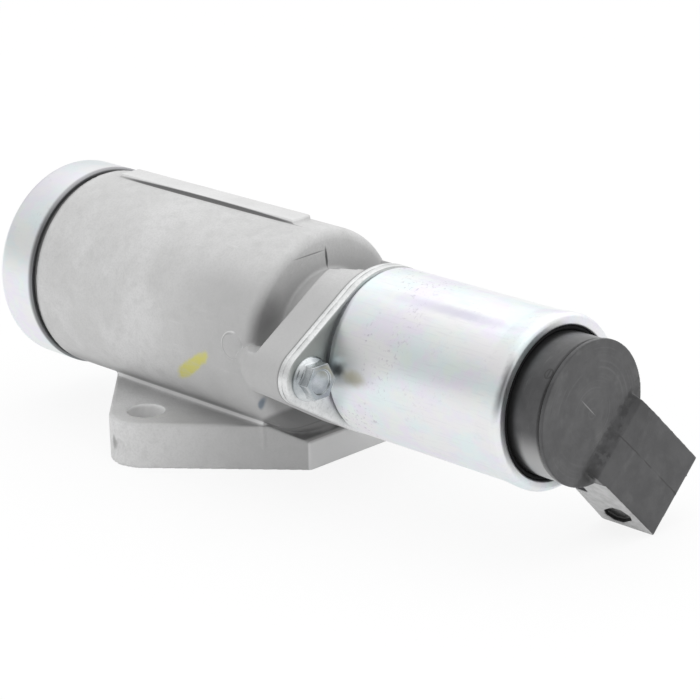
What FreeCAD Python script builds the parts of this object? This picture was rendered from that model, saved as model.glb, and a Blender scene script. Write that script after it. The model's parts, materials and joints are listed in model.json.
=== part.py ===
import FreeCAD, Part
import math
import os

import Sketcher

# Idle air control valve of the solenoid kind, in millimetres.
# Frame: X runs along the valve's axis towards the connector, Z is up, and the
# origin lies on the mounting face of the base, midway between the two bolt holes
# and straight below the axis.

Vector = FreeCAD.Vector
Rotation = FreeCAD.Rotation

doc = FreeCAD.newDocument("idle_air_control_valve")
sheet = doc.addObject("Spreadsheet::Sheet", "sizes")
sheet_rows = []


class Size:
    """A length that carries its number and its expression together."""

    def __init__(self, number, text):
        self.number = float(number)
        self.text = text

    def _join(self, other, sign, number):
        other_text = other.text if isinstance(other, Size) else repr(float(other))
        return Size(number, "(" + self.text + " " + sign + " " + other_text + ")")

    def __float__(self):
        return self.number

    def __add__(self, other):
        return self._join(other, "+", self.number + float(other))

    def __sub__(self, other):
        return self._join(other, "-", self.number - float(other))

    def __mul__(self, other):
        return self._join(other, "*", self.number * float(other))

    def __truediv__(self, other):
        return self._join(other, "/", self.number / float(other))

    def __radd__(self, other):
        return Size(other, repr(float(other))) + self

    def __rsub__(self, other):
        return Size(other, repr(float(other))) - self

    def __neg__(self):
        return Size(-self.number, "(0 - " + self.text + ")")


def size(alias, number):
    """Puts one driving size into the sheet and hands it back."""
    row = len(sheet_rows) + 1
    sheet.set("A" + str(row), alias)
    sheet.set("B" + str(row), repr(number))
    sheet.setAlias("B" + str(row), alias)
    sheet_rows.append(alias)
    return Size(number, "sizes." + alias)


# Chamber of the housing
axis_height = size("axis_height", 33.0)
chamber_to_origin = size("chamber_to_origin", 57.4)
chamber_radius = size("chamber_radius", 25.0)
chamber_length = size("chamber_length", 79.5)
chamber_wall = size("chamber_wall", 2.6)
chamber_end_round = size("chamber_end_round", 2.8)
spigot_radius = size("spigot_radius", 24.2)
spigot_length = size("spigot_length", 9.0)
spigot_groove = size("spigot_groove", 1.4)

# Cap on the open end of the chamber
cap_length = size("cap_length", 12.6)
cap_overlap = size("cap_overlap", 0.4)
cap_wall = size("cap_wall", 1.2)
cap_round = size("cap_round", 2.4)
cap_clearance = size("cap_clearance", 0.05)
cap_seal_width = size("cap_seal_width", 3.4)

# Neck, ears and pad that carry the solenoid
neck_radius = size("neck_radius", 15.5)
neck_gap = size("neck_gap", 8.0)
pad_thickness = size("pad_thickness", 8.8)
pad_radius = size("pad_radius", 20.2)
ear_radius = size("ear_radius", 6.8)
ear_distance = size("ear_distance", 25.4)
ear_boss_start = size("ear_boss_start", 3.5)
ear_boss_lead = size("ear_boss_lead", 9.0)
ear_boss_small = size("ear_boss_small", 0.8)
web_neck_rise = size("web_neck_rise", 1.2)
web_ear_rise = size("web_ear_rise", 3.4)
web_tip_rise = size("web_tip_rise", 5.0)
web_edge = size("web_edge", 0.6)
pad_notch_wide = size("pad_notch_wide", 6.6)
pad_notch_narrow = size("pad_notch_narrow", 2.9)
pad_notch_far = size("pad_notch_far", 10.4)

# Mounting base, turned in plan against the valve's axis
base_thickness = size("base_thickness", 11.4)
base_turn = size("base_turn", 40.0)
bolt_along = size("bolt_along", 55.3)
bolt_across = size("bolt_across", 22.3)
bolt_margin = size("bolt_margin", 9.2)
bolt_hole_radius = size("bolt_hole_radius", 4.5)
base_side_out = size("base_side_out", 0.85)
base_side_lean = size("base_side_lean", 1.8)
blank_corner_radius = size("blank_corner_radius", 3.5)
base_side = size("base_side", 23.2)
base_edge_round = size("base_edge_round", 0.8)
base_slope_run = size("base_slope_run", 8.4)
base_slope_drop = size("base_slope_drop", 4.4)
base_slope_reach = size("base_slope_reach", 7.4)
pedestal_half = size("pedestal_half", 14.6)
pedestal_rise = size("pedestal_rise", 1.5)
gate_mark_radius = size("gate_mark_radius", 2.6)
gate_mark_out = size("gate_mark_out", 1.4)

# Air ways
port_radius = size("port_radius", 6.5)
port_offset = size("port_offset", 12.0)
port_wall = size("port_wall", 3.0)
port_overrun = size("port_overrun", 6.0)
valve_bore_radius = size("valve_bore_radius", 11.5)
valve_tube_wall = size("valve_tube_wall", 3.0)
valve_tube_length = size("valve_tube_length", 22.5)
partition_thickness = size("partition_thickness", 3.0)

# Cast marks
strip_height = size("strip_height", 0.9)
strip_width = size("strip_width", 6.0)
strip_start = size("strip_start", 7.8)
strip_length = size("strip_length", 62.0)
strip_root = size("strip_root", 2.0)
strip_near_edge = size("strip_near_edge", 0.5)
eject_mark_radius = size("eject_mark_radius", 3.2)
eject_mark_rise = size("eject_mark_rise", 0.25)
eject_mark_from_end = size("eject_mark_from_end", 5.8)
eject_mark_above = size("eject_mark_above", 1.6)
eject_mark_root = size("eject_mark_root", 2.0)

# Valve seat, head and stem
seat_outer_radius = size("seat_outer_radius", 9.0)
seat_inner_radius = size("seat_inner_radius", 6.5)
seat_proud = size("seat_proud", 1.2)
seal_thickness = size("seal_thickness", 1.2)
seat_gap = size("seat_gap", 0.05)
head_radius = size("head_radius", 8.6)
head_thickness = size("head_thickness", 3.2)
head_hub_radius = size("head_hub_radius", 4.0)
head_hub_length = size("head_hub_length", 4.0)
stem_radius = size("stem_radius", 2.0)
stem_tip = size("stem_tip", 3.0)
stem_socket = size("stem_socket", 12.0)
clip_thickness = size("clip_thickness", 0.8)
clip_radius = size("clip_radius", 3.6)
clip_depth = size("clip_depth", 0.6)
running_clearance = size("running_clearance", 0.05)
valve_lift = size("valve_lift", 4.0)

# Steel flange plate and its screws
plate_thickness = size("plate_thickness", 3.3)
plate_hole_radius = size("plate_hole_radius", 2.8)
collar_radius = size("collar_radius", 18.6)
collar_height = size("collar_height", 0.5)
screw_radius = size("screw_radius", 2.45)
screw_length = size("screw_length", 11.0)
screw_hole_radius = size("screw_hole_radius", 2.5)
screw_hole_depth = size("screw_hole_depth", 13.0)
screw_flange_radius = size("screw_flange_radius", 5.3)
screw_flange_height = size("screw_flange_height", 1.1)
screw_cone_height = size("screw_cone_height", 0.7)
screw_head_flats = size("screw_head_flats", 8.0)
screw_head_height = size("screw_head_height", 4.1)
screw_dimple_radius = size("screw_dimple_radius", 2.9)
screw_dimple_depth = size("screw_dimple_depth", 0.5)
ring_section = size("ring_section", 1.9)

# Solenoid
can_radius = size("can_radius", 20.0)
can_length = size("can_length", 52.4)
can_wall = size("can_wall", 1.5)
can_front_round = size("can_front_round", 0.9)
can_lip_radius = size("can_lip_radius", 17.9)
can_lip_round = size("can_lip_round", 2.4)
can_bead_radius = size("can_bead_radius", 20.4)
can_bead_run = size("can_bead_run", 7.0)
pole_spigot_radius = size("pole_spigot_radius", 10.0)
pole_spigot_reach = size("pole_spigot_reach", 6.0)
pole_disc_thickness = size("pole_disc_thickness", 3.0)
pole_recess = size("pole_recess", 1.6)
assembly_clearance = size("assembly_clearance", 0.05)
bush_radius = size("bush_radius", 3.6)
guide_radius = size("guide_radius", 9.3)
guide_wall = size("guide_wall", 0.5)
armature_clearance = size("armature_clearance", 0.08)
armature_gap = size("armature_gap", 4.0)
armature_length = size("armature_length", 26.0)
core_gap = size("core_gap", 0.6)
rear_plate_thickness = size("rear_plate_thickness", 2.4)
bobbin_wall = size("bobbin_wall", 1.2)
bobbin_hub_wall = size("bobbin_hub_wall", 1.6)
winding_depth = size("winding_depth", 5.6)
spring_bore_radius = size("spring_bore_radius", 3.3)
spring_radius = size("spring_radius", 2.6)
spring_wire_radius = size("spring_wire_radius", 0.4)
spring_pocket = size("spring_pocket", 7.0)
spring_turns = size("spring_turns", 5.0)
adjuster_length = size("adjuster_length", 4.0)
adjuster_slot = size("adjuster_slot", 1.0)

# Moulded plug and connector
plug_radius = size("plug_radius", 16.5)
plug_flange_radius = size("plug_flange_radius", 18.3)
plug_flange_thickness = size("plug_flange_thickness", 1.5)
plug_projection = size("plug_projection", 9.6)
plug_face_radius = size("plug_face_radius", 16.8)
plug_face_thickness = size("plug_face_thickness", 1.5)
plug_seal_radius = size("plug_seal_radius", 0.55)
connector_turn = size("connector_turn", 43.25)
connector_width = size("connector_width", 21.0)
connector_root = size("connector_root", 7.8)
connector_ramp_rise = size("connector_ramp_rise", 2.1)
connector_ramp_end = size("connector_ramp_end", 10.3)
connector_bend = size("connector_bend", 15.2)
connector_bend_rise = size("connector_bend_rise", 2.9)
connector_mouth_rise = size("connector_mouth_rise", 4.5)
connector_reach = size("connector_reach", 35.4)
connector_depth = size("connector_depth", 15.1)
connector_back = size("connector_back", 21.0)
connector_neck = size("connector_neck", 9.6)
socket_wall = size("socket_wall", 1.7)
socket_depth = size("socket_depth", 13.5)
socket_front_extra = size("socket_front_extra", 0.9)
window_radius = size("window_radius", 2.7)
window_half = size("window_half", 4.9)
window_from_mouth = size("window_from_mouth", 5.6)
window_from_front = size("window_from_front", 7.4)
window_tilt = size("window_tilt", 38.0)
window_depth = size("window_depth", 1.25)
blade_width = size("blade_width", 2.8)
blade_thickness = size("blade_thickness", 0.8)
blade_length = size("blade_length", 9.0)
blade_root = size("blade_root", 3.5)
blade_pitch = size("blade_pitch", 6.4)

# Silencer in the chamber
foam_bore_radius = size("foam_bore_radius", 7.0)
foam_clearance = size("foam_clearance", 0.3)
foam_end = size("foam_end", 36.0)
screen_thickness = size("screen_thickness", 1.2)
screen_hole_radius = size("screen_hole_radius", 2.2)
screen_hole_circle = size("screen_hole_circle", 14.0)
screen_holes = size("screen_holes", 12)

doc.recompute()

# Stations along the axis
x_seam = -chamber_to_origin
x_cap_end = x_seam - cap_length
x_spigot_end = x_seam - spigot_length
x_chamber_end = x_seam + chamber_length
x_pad_back = x_chamber_end + neck_gap
x_pad_face = x_pad_back + pad_thickness
x_plate_face = x_pad_face + plate_thickness
x_can_front = x_plate_face + collar_height
x_can_rear = x_can_front + can_length
x_plug_face = x_can_rear + plug_projection
x_tube_end = x_chamber_end - valve_tube_length
x_seat_face = x_tube_end + partition_thickness + seat_proud
x_head_face = x_seat_face + seat_gap
x_pole_face = x_can_front + can_wall
x_pole_rear = x_pole_face + pole_disc_thickness
x_plug_seat = x_can_rear - can_wall - plug_flange_thickness
x_rear_plate = x_plug_seat - rear_plate_thickness
x_armature = x_pole_rear + armature_gap
x_armature_rear = x_armature + armature_length
x_core = x_armature_rear + valve_lift + core_gap
x_stem_end = x_armature + stem_socket
chamber_bore = chamber_radius - chamber_wall
can_bore = can_radius - can_wall
guide_bore = guide_radius - guide_wall

ALONG_X = Rotation(Vector(0, 1, 0), 90)
ALONG_NEAR = Rotation(Vector(1, 0, 0), 90)
UPRIGHT = Rotation()


def bind(thing, **sizes):
    """Binds properties of an object to sizes, by property name."""
    for name, value in sizes.items():
        if isinstance(value, Size):
            setattr(thing, name, value.number)
            thing.setExpression(name, value.text)
        else:
            setattr(thing, name, value)


def bind_place(thing, x=0.0, y=0.0, z=0.0, rotation=UPRIGHT):
    """Sets an object's Placement and binds its position to sizes."""
    thing.Placement = FreeCAD.Placement(Vector(float(x), float(y), float(z)), rotation)
    for name, value in (("x", x), ("y", y), ("z", z)):
        if isinstance(value, Size):
            thing.setExpression("Placement.Base." + name, value.text)


def new_body(label, x=0.0, y=0.0, z=0.0, rotation=UPRIGHT):
    body = doc.addObject("PartDesign::Body", label)
    body.Label = label
    bind_place(body, x, y, z, rotation)
    return body


def plane_of(body, role):
    for feature in body.Origin.OriginFeatures:
        if feature.Role == role:
            return feature
    raise RuntimeError("no plane " + role)


def new_sketch(body, role, name, offset=0.0):
    """A sketch on one of the body's own planes, moved off it by offset."""
    sketch = body.newObject("Sketcher::SketchObject", name)
    sketch.AttachmentSupport = [(plane_of(body, role), "")]
    sketch.MapMode = "FlatFace"
    sketch.AttachmentOffset = FreeCAD.Placement(Vector(0, 0, float(offset)), UPRIGHT)
    if isinstance(offset, Size):
        sketch.setExpression("AttachmentOffset.Base.z", offset.text)
    return sketch


def draw_outline(sketch, points):
    """A closed outline of straight lines, each corner bound to its two sizes."""
    count = len(points)
    for index in range(count):
        here, there = points[index], points[(index + 1) % count]
        sketch.addGeometry(Part.LineSegment(
            Vector(float(here[0]), float(here[1]), 0),
            Vector(float(there[0]), float(there[1]), 0)), False)
    for index in range(count):
        sketch.addConstraint(Sketcher.Constraint("Coincident", index, 2, (index + 1) % count, 1))
    for index, point in enumerate(points):
        for kind, axis_line, value in (("DistanceX", -2, point[0]), ("DistanceY", -1, point[1])):
            if float(value) == 0.0:
                sketch.addConstraint(Sketcher.Constraint("PointOnObject", index, 1, axis_line))
                continue
            number = sketch.addConstraint(
                Sketcher.Constraint(kind, -1, 1, index, 1, float(value)))
            if isinstance(value, Size):
                sketch.setExpression("Constraints[" + str(number) + "]", value.text)


def turn(body, name, points, cut=False):
    """Turns an outline of (x, radius) points about the body's X axis."""
    sketch = new_sketch(body, "XY_Plane", name + "_outline")
    draw_outline(sketch, points)
    kind = "PartDesign::Groove" if cut else "PartDesign::Revolution"
    feature = body.newObject(kind, name)
    feature.Profile = sketch
    feature.ReferenceAxis = (sketch, ["H_Axis"])
    feature.Angle = 360.0
    sketch.Visibility = False
    doc.recompute()
    return feature


def pad_outline(body, sketch, name, length, both_ways=False):
    feature = body.newObject("PartDesign::Pad", name)
    feature.Profile = sketch
    bind(feature, Length=length)
    feature.Midplane = both_ways
    doc.recompute()
    return feature


def primitive(body, kind, name, place, **sizes):
    """An additive or subtractive primitive with bound sizes and place."""
    feature = body.newObject("PartDesign::" + kind, name)
    bind(feature, **sizes)
    bind_place(feature, *place)
    doc.recompute()
    return feature


def arc_edges(shape, x, radius):
    """Names of the round edges at one station and radius about the local X axis."""
    names = []
    for index, edge in enumerate(shape.Edges):
        curve = edge.Curve
        if not isinstance(curve, Part.Circle):
            continue
        if abs(curve.Center.x - float(x)) < 0.01 and abs(curve.Radius - float(radius)) < 0.01:
            names.append("Edge" + str(index + 1))
    return names


def round_off(body, base, name, edges, radius):
    """Rounds the named edges of the last feature."""
    if not edges:
        raise RuntimeError(name + " found no edge")
    feature = body.newObject("PartDesign::Fillet", name)
    feature.Base = (base, edges)
    bind(feature, Radius=radius)
    doc.recompute()
    return feature


def turned_piece(label, x, points):
    """A body of its own, turned about the valve's axis, its outline starting at x."""
    body = new_body(label, x, 0.0, axis_height)
    turn(body, label + "_turned", points)
    return body


def ring_points(start, length, inner, outer):
    return [(start, inner), (start + length, inner), (start + length, outer), (start, outer)]


def draw_ear_outline(sketch, middle, ear, distance, height):
    """Two ears joined to a round middle by tangent lines, as one closed outline."""
    big, small, reach, level = float(middle), float(ear), float(distance), float(height)
    lean = math.asin((big - small) / reach)
    arcs, corners = [], []
    for side in (1, -1):
        first = Vector(math.sin(lean) * side, math.cos(lean), 0)
        second = Vector(math.sin(lean) * side, -math.cos(lean), 0)
        corners.append((first, second))
    centre = Vector(0, level, 0)
    right, left = Vector(reach, level, 0), Vector(-reach, level, 0)
    axis = Vector(0, 0, 1)
    half = math.pi / 2

    def arc(middle_point, radius, start, end):
        return Part.ArcOfCircle(Part.Circle(middle_point, axis, radius), start, end)

    # The outline runs anticlockwise: right ear, upper right line, top, and so on.
    up_right = half - lean
    sketch.addGeometry(arc(right, small, -up_right, up_right), False)
    sketch.addGeometry(Part.LineSegment(right + corners[0][0] * small,
                                        centre + corners[0][0] * big), False)
    sketch.addGeometry(arc(centre, big, up_right, math.pi - up_right), False)
    sketch.addGeometry(Part.LineSegment(centre + corners[1][0] * big,
                                        left + corners[1][0] * small), False)
    sketch.addGeometry(arc(left, small, math.pi - up_right, math.pi + up_right), False)
    sketch.addGeometry(Part.LineSegment(left + corners[1][1] * small,
                                        centre + corners[1][1] * big), False)
    sketch.addGeometry(arc(centre, big, math.pi + up_right, 2 * math.pi - up_right), False)
    sketch.addGeometry(Part.LineSegment(centre + corners[0][1] * big,
                                        right + corners[0][1] * small), False)
    for index in range(8):
        following = (index + 1) % 8
        sketch.addConstraint(Sketcher.Constraint("Tangent", index, 2, following, 1))
    for index, radius in ((0, ear), (2, middle), (4, ear), (6, middle)):
        number = sketch.addConstraint(Sketcher.Constraint("Radius", index, float(radius)))
        sketch.setExpression("Constraints[" + str(number) + "]", radius.text)
    places = ((0, distance), (2, None), (4, -distance), (6, None))
    for index, along in places:
        if along is None:
            sketch.addConstraint(Sketcher.Constraint("PointOnObject", index, 3, -2))
        else:
            number = sketch.addConstraint(
                Sketcher.Constraint("DistanceX", -1, 1, index, 3, float(along)))
            sketch.setExpression("Constraints[" + str(number) + "]", along.text)
        if float(height) == 0.0:
            sketch.addConstraint(Sketcher.Constraint("PointOnObject", index, 3, -1))
        else:
            number = sketch.addConstraint(
                Sketcher.Constraint("DistanceY", -1, 1, index, 3, level))
            sketch.setExpression("Constraints[" + str(number) + "]", height.text)


pieces = []


def keep(body):
    pieces.append(body)
    return body


# The housing casting. Its base is a rectangle in plan, turned by base_turn, with
# the corner under the solenoid cut off square to the axis.
housing = new_body("housing_casting")
cosine = Size(math.cos(math.radians(float(base_turn))), "cos(sizes.base_turn * 1 deg)")
sine = Size(math.sin(math.radians(float(base_turn))), "sin(sizes.base_turn * 1 deg)")
half_long = bolt_along / 2 + bolt_margin
half_wide = bolt_across / 2 + bolt_margin


def turned_point(along, across):
    """A point of the base given along and across its own long side."""
    return (along * cosine - across * sine, along * sine + across * cosine)


near_left = turned_point(-(half_long + base_side_out - base_side_lean), -half_wide)
far_left = turned_point(-(half_long + base_side_out + base_side_lean), half_wide)
far_right = turned_point(half_long + base_side_out - base_side_lean, half_wide)
front_cut = (base_side, (base_side * sine - half_wide) / cosine)
back_cut = (base_side, (half_long - base_side * cosine) / sine)
base_sketch = new_sketch(housing, "XY_Plane", "base_outline")
draw_outline(base_sketch, [near_left, front_cut, back_cut, far_right, far_left])
base_pad = pad_outline(housing, base_sketch, "base_block", base_thickness)



def upright_edges(shape, corners):
    """The names of a shape's upright edges that stand at the given corners."""
    names = []
    for number, edge in enumerate(shape.Edges):
        middle = edge.CenterOfMass
        if edge.BoundBox.ZLength < float(base_thickness) * 0.5:
            continue
        for corner in corners:
            if math.hypot(middle.x - float(corner[0]), middle.y - float(corner[1])) < 0.01:
                names.append("Edge" + str(number + 1))
    return names


bolt_corners = round_off(housing, base_pad, "base_bolt_corners",
                         upright_edges(base_pad.Shape, (near_left, far_right)), bolt_margin)
base_corners = round_off(housing, bolt_corners, "base_corners",
                         upright_edges(bolt_corners.Shape, (far_left,)), blank_corner_radius)

top_edges = []
for number, edge in enumerate(base_corners.Shape.Edges):
    if edge.BoundBox.ZMin > float(base_thickness) - 0.01:
        top_edges.append("Edge" + str(number + 1))
round_off(housing, base_corners, "base_top_round", top_edges, base_edge_round)

# The slope of the base under the ear.
slope_sketch = new_sketch(housing, "XZ_Plane", "slope_outline", -base_slope_reach)
draw_outline(slope_sketch, [
    (base_side - base_slope_run, base_thickness),
    (base_side + 1.0, base_thickness - base_slope_drop * (1 + 1 / 8.4)),
    (base_side + 1.0, base_thickness + 1.0), (base_side - base_slope_run, base_thickness + 1.0)])
slope = housing.newObject("PartDesign::Pocket", "base_slope")
slope.Profile = slope_sketch
bind(slope, Length=half_long + base_slope_reach)
slope.Reversed = True
doc.recompute()

# The chamber, turned, with its neck on the solenoid's side.
primitive(housing, "AdditiveCylinder", "spigot", (x_spigot_end, 0.0, axis_height, ALONG_X),
          Radius=spigot_radius, Height=spigot_length + spigot_groove + cap_overlap)
primitive(housing, "AdditiveCylinder", "chamber_body",
          (x_seam + spigot_groove + cap_overlap, 0.0, axis_height, ALONG_X),
          Radius=chamber_radius,
          Height=chamber_length - spigot_groove - cap_overlap - chamber_end_round)
primitive(housing, "AdditiveCylinder", "chamber_end",
          (x_chamber_end - chamber_end_round - 1.0, 0.0, axis_height, ALONG_X),
          Radius=chamber_radius - chamber_end_round, Height=chamber_end_round + 1.0)
primitive(housing, "AdditiveTorus", "chamber_end_rounding",
          (x_chamber_end - chamber_end_round, 0.0, axis_height, ALONG_X),
          Radius1=chamber_radius - chamber_end_round, Radius2=chamber_end_round)

# Pedestal: the short upright wall between the base and the round chamber.
side_inset = base_edge_round + 0.2
side_slope = base_side_lean / half_wide
inset_along = half_long + base_side_out - side_inset
far_across = half_wide - base_edge_round
far_along = (pedestal_half - far_across * cosine) / sine
corner_far = turned_point(-(inset_along + base_side_lean - blank_corner_radius), far_across)
corner_across = far_across - blank_corner_radius
corner_near = turned_point(-(inset_along + side_slope * corner_across), corner_across)
lean_along = side_slope * sine + cosine
pedestal_left = corner_near[0] + (corner_near[1] + pedestal_half) * (sine - side_slope * cosine) / lean_along
pedestal_sketch = new_sketch(housing, "XY_Plane", "pedestal_outline", base_thickness / 2)
draw_outline(pedestal_sketch, [
    (pedestal_left, -pedestal_half),
    (base_side - base_slope_run, -pedestal_half), (base_side - base_slope_run, pedestal_half),
    (far_along * cosine - far_across * sine, pedestal_half), corner_far, corner_near])
pad_outline(housing, pedestal_sketch, "pedestal", base_thickness / 2 + pedestal_rise)

primitive(housing, "AdditiveCylinder", "neck",
          (x_chamber_end - chamber_wall, 0.0, axis_height, ALONG_X),
          Radius=neck_radius, Height=chamber_wall + neck_gap + pad_thickness)

# The two-ear pad and the bosses that run back from its ears into the chamber.
pad_sketch = new_sketch(housing, "YZ_Plane", "pad_outline", x_pad_back)
draw_ear_outline(pad_sketch, pad_radius, ear_radius, ear_distance, axis_height)
pad_outline(housing, pad_sketch, "pad_block", pad_thickness)
notch_sketch = new_sketch(housing, "XY_Plane", "pad_notch_outline", axis_height)
draw_outline(notch_sketch, [
    (x_pad_back - 0.5, -pad_notch_wide), (x_pad_face + 0.5, -pad_notch_narrow),
    (x_pad_face + 0.5, pad_notch_far), (x_pad_back - 0.5, pad_notch_far)])
notch = housing.newObject("PartDesign::Pocket", "pad_notch")
notch.Profile = notch_sketch
bind(notch, Length=pad_radius + 5.0)
notch.Reversed = True
doc.recompute()
primitive(housing, "AdditiveCylinder", "neck_core",
          (x_pad_back - 1.0, 0.0, axis_height, ALONG_X),
          Radius=neck_radius, Height=pad_thickness + 1.0)
for side, sign in (("near", -1), ("far", 1)):
    boss_y = ear_distance * sign
    primitive(housing, "AdditiveCone", "ear_boss_lead_" + side,
              (x_chamber_end - ear_boss_start, boss_y, axis_height, ALONG_X),
              Radius1=ear_boss_small, Radius2=ear_radius, Height=ear_boss_lead)
    primitive(housing, "AdditiveCylinder", "ear_boss_" + side,
              (x_chamber_end - ear_boss_start + ear_boss_lead, boss_y, axis_height, ALONG_X),
              Radius=ear_radius,
              Height=neck_gap + ear_boss_start - ear_boss_lead + pad_thickness / 2)
    primitive(housing, "AdditiveBox", "ear_web_" + side,
              (x_chamber_end - 1.0,
               (neck_radius - 2.0) if sign > 0 else -ear_distance,
               axis_height - ear_radius + web_edge),
              Length=neck_gap + 2.0, Width=ear_distance - neck_radius + 2.0,
              Height=ear_radius - web_edge + web_neck_rise)

# Hollows above the ears' webs, between the chamber's end and the pad.
for side, sign in (("near", -1), ("far", 1)):
    hollow_sketch = new_sketch(housing, "YZ_Plane", "hollow_outline_" + side, x_pad_back)
    tip = ear_distance + ear_radius + 1.0
    hollow_top = axis_height + ear_radius + 1.0
    draw_outline(hollow_sketch, [
        ((neck_radius + web_edge) * sign, axis_height + web_neck_rise),
        (ear_distance * sign, axis_height + web_ear_rise),
        (tip * sign, axis_height + web_tip_rise), (tip * sign, hollow_top),
        ((neck_radius + web_edge) * sign, hollow_top)])
    hollow = housing.newObject("PartDesign::Pocket", "hollow_" + side)
    hollow.Profile = hollow_sketch
    bind(hollow, Length=neck_gap)
    doc.recompute()

# Cast marks: the raised strip along the top and the round ejector mark.
primitive(housing, "AdditiveBox", "top_strip",
          (x_seam + strip_start, -strip_near_edge, axis_height + chamber_radius - strip_root),
          Length=strip_length, Width=strip_width, Height=strip_height + strip_root)
primitive(housing, "AdditiveCylinder", "ejector_mark",
          (x_chamber_end - eject_mark_from_end, -(chamber_radius - eject_mark_root),
           axis_height + eject_mark_above, ALONG_NEAR),
          Radius=eject_mark_radius, Height=eject_mark_rise + eject_mark_root)

# The gate mark on the round corner of the base.
near_middle = turned_point(-(half_long - bolt_margin), -(half_wide - bolt_margin))
gate_reach = bolt_margin + gate_mark_out
primitive(housing, "SubtractiveSphere", "gate_mark",
          (near_middle[0], near_middle[1] - gate_reach, base_thickness * 0.4),
          Radius=gate_mark_radius)

# Cored spaces: the chamber, the valve tube left standing in it, and the air ways.
primitive(housing, "SubtractiveCylinder", "chamber_core",
          (x_spigot_end - 1.0, 0.0, axis_height, ALONG_X),
          Radius=chamber_bore, Height=spigot_length + chamber_length - chamber_wall + 1.0)
primitive(housing, "AdditiveCylinder", "valve_tube",
          (x_tube_end, 0.0, axis_height, ALONG_X),
          Radius=valve_bore_radius + valve_tube_wall, Height=valve_tube_length)
primitive(housing, "AdditiveCylinder", "outlet_duct",
          (port_offset, 0.0, base_thickness / 2),
          Radius=port_radius + port_wall, Height=axis_height - base_thickness / 2)
primitive(housing, "SubtractiveCylinder", "valve_bore",
          (x_tube_end + partition_thickness, 0.0, axis_height, ALONG_X),
          Radius=valve_bore_radius,
          Height=valve_tube_length - partition_thickness + neck_gap + pad_thickness + 1.0)
primitive(housing, "SubtractiveCylinder", "seat_bore",
          (x_tube_end - 1.0, 0.0, axis_height, ALONG_X),
          Radius=seat_outer_radius, Height=partition_thickness + 2.0)
primitive(housing, "SubtractiveCylinder", "outlet_port",
          (port_offset, 0.0, -1.0), Radius=port_radius, Height=axis_height + 1.0)
primitive(housing, "SubtractiveCylinder", "inlet_port",
          (-port_offset, 0.0, -1.0), Radius=port_radius,
          Height=axis_height - chamber_bore + port_overrun)
primitive(housing, "SubtractiveCylinder", "ring_seat",
          (x_pad_face - ring_section * 0.85, 0.0, axis_height, ALONG_X),
          Radius=valve_bore_radius + ring_section + 0.1, Height=ring_section * 0.85 + 1.0)
for side, sign in (("near", -1), ("far", 1)):
    hole = turned_point(bolt_along / 2 * sign, bolt_across / 2 * sign)
    primitive(housing, "SubtractiveCylinder", "bolt_hole_" + side,
              (hole[0], hole[1], -1.0), Radius=bolt_hole_radius,
              Height=base_thickness + 2.0)
    primitive(housing, "SubtractiveCylinder", "screw_hole_" + side,
              (x_pad_face - screw_hole_depth, ear_distance * sign, axis_height, ALONG_X),
              Radius=screw_hole_radius, Height=screw_hole_depth + 1.0)
keep(housing)

# Pressed cap over the spigot, and its flat seal.
cap = new_body("end_cap", x_cap_end, 0.0, axis_height)
cap_inner = spigot_radius + cap_clearance
cap_outer = cap_inner + cap_wall
cap_shell = turn(cap, "cap_shell", [
    (0.0, 0.0), (cap_wall, 0.0), (cap_wall, cap_inner),
    (cap_length + cap_overlap, cap_inner), (cap_length + cap_overlap, cap_outer),
    (0.0, cap_outer)])
round_off(cap, cap_shell, "cap_rounding", arc_edges(cap_shell.Shape, 0.0, cap_outer), cap_round)
keep(cap)
keep(turned_piece("cap_seal", x_cap_end + cap_wall, ring_points(
    Size(0.0, "0"), cap_length - cap_wall - spigot_length,
    spigot_radius - cap_seal_width, spigot_radius)))

# Silencer: a foam plug with a bore, held by a perforated disc.
foam_start = x_cap_end + cap_wall
keep(turned_piece("silencer_foam", foam_start, ring_points(
    Size(0.0, "0"), x_seam + foam_end - foam_start, foam_bore_radius,
    spigot_radius - cap_seal_width - foam_clearance)))
screen = new_body("silencer_screen", x_seam + foam_end, 0.0, axis_height)
turn(screen, "screen_disc", [
    (0.0, 0.0), (screen_thickness, 0.0), (screen_thickness, chamber_bore), (0.0, chamber_bore)])
first_hole = primitive(screen, "SubtractiveCylinder", "screen_hole",
                       (-1.0, 0.0, screen_hole_circle, ALONG_X),
                       Radius=screen_hole_radius, Height=screen_thickness + 2.0)
hole_ring = screen.newObject("PartDesign::PolarPattern", "screen_hole_ring")
hole_ring.Originals = [first_hole]
hole_ring.Axis = ([f for f in screen.Origin.OriginFeatures if f.Role == "X_Axis"][0], [""])
hole_ring.Angle = 360.0
hole_ring.Occurrences = int(float(screen_holes))
hole_ring.setExpression("Occurrences", screen_holes.text)
screen.Tip = hole_ring
doc.recompute()
keep(screen)

# Valve seat pressed into the end of the valve tube.
keep(turned_piece("valve_seat", x_tube_end, [
    (0.0, seat_inner_radius), (partition_thickness + seat_proud, seat_inner_radius),
    (partition_thickness + seat_proud, seat_inner_radius + 0.8),
    (partition_thickness, seat_outer_radius), (0.0, seat_outer_radius)]))

# Valve head with its rubber face, on the stem, held by a clip.
keep(turned_piece("valve_seal", x_head_face, ring_points(
    Size(0.0, "0"), seal_thickness, head_hub_radius + 1.0, head_radius - 0.6)))
head_profile = [
    (seal_thickness, stem_radius), (seal_thickness + head_hub_length, stem_radius),
    (seal_thickness + head_hub_length, head_hub_radius),
    (seal_thickness + head_thickness, head_hub_radius + 1.0),
    (seal_thickness + head_thickness * 0.6, head_radius), (seal_thickness, head_radius)]
keep(turned_piece("valve_head", x_head_face, head_profile))

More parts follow.
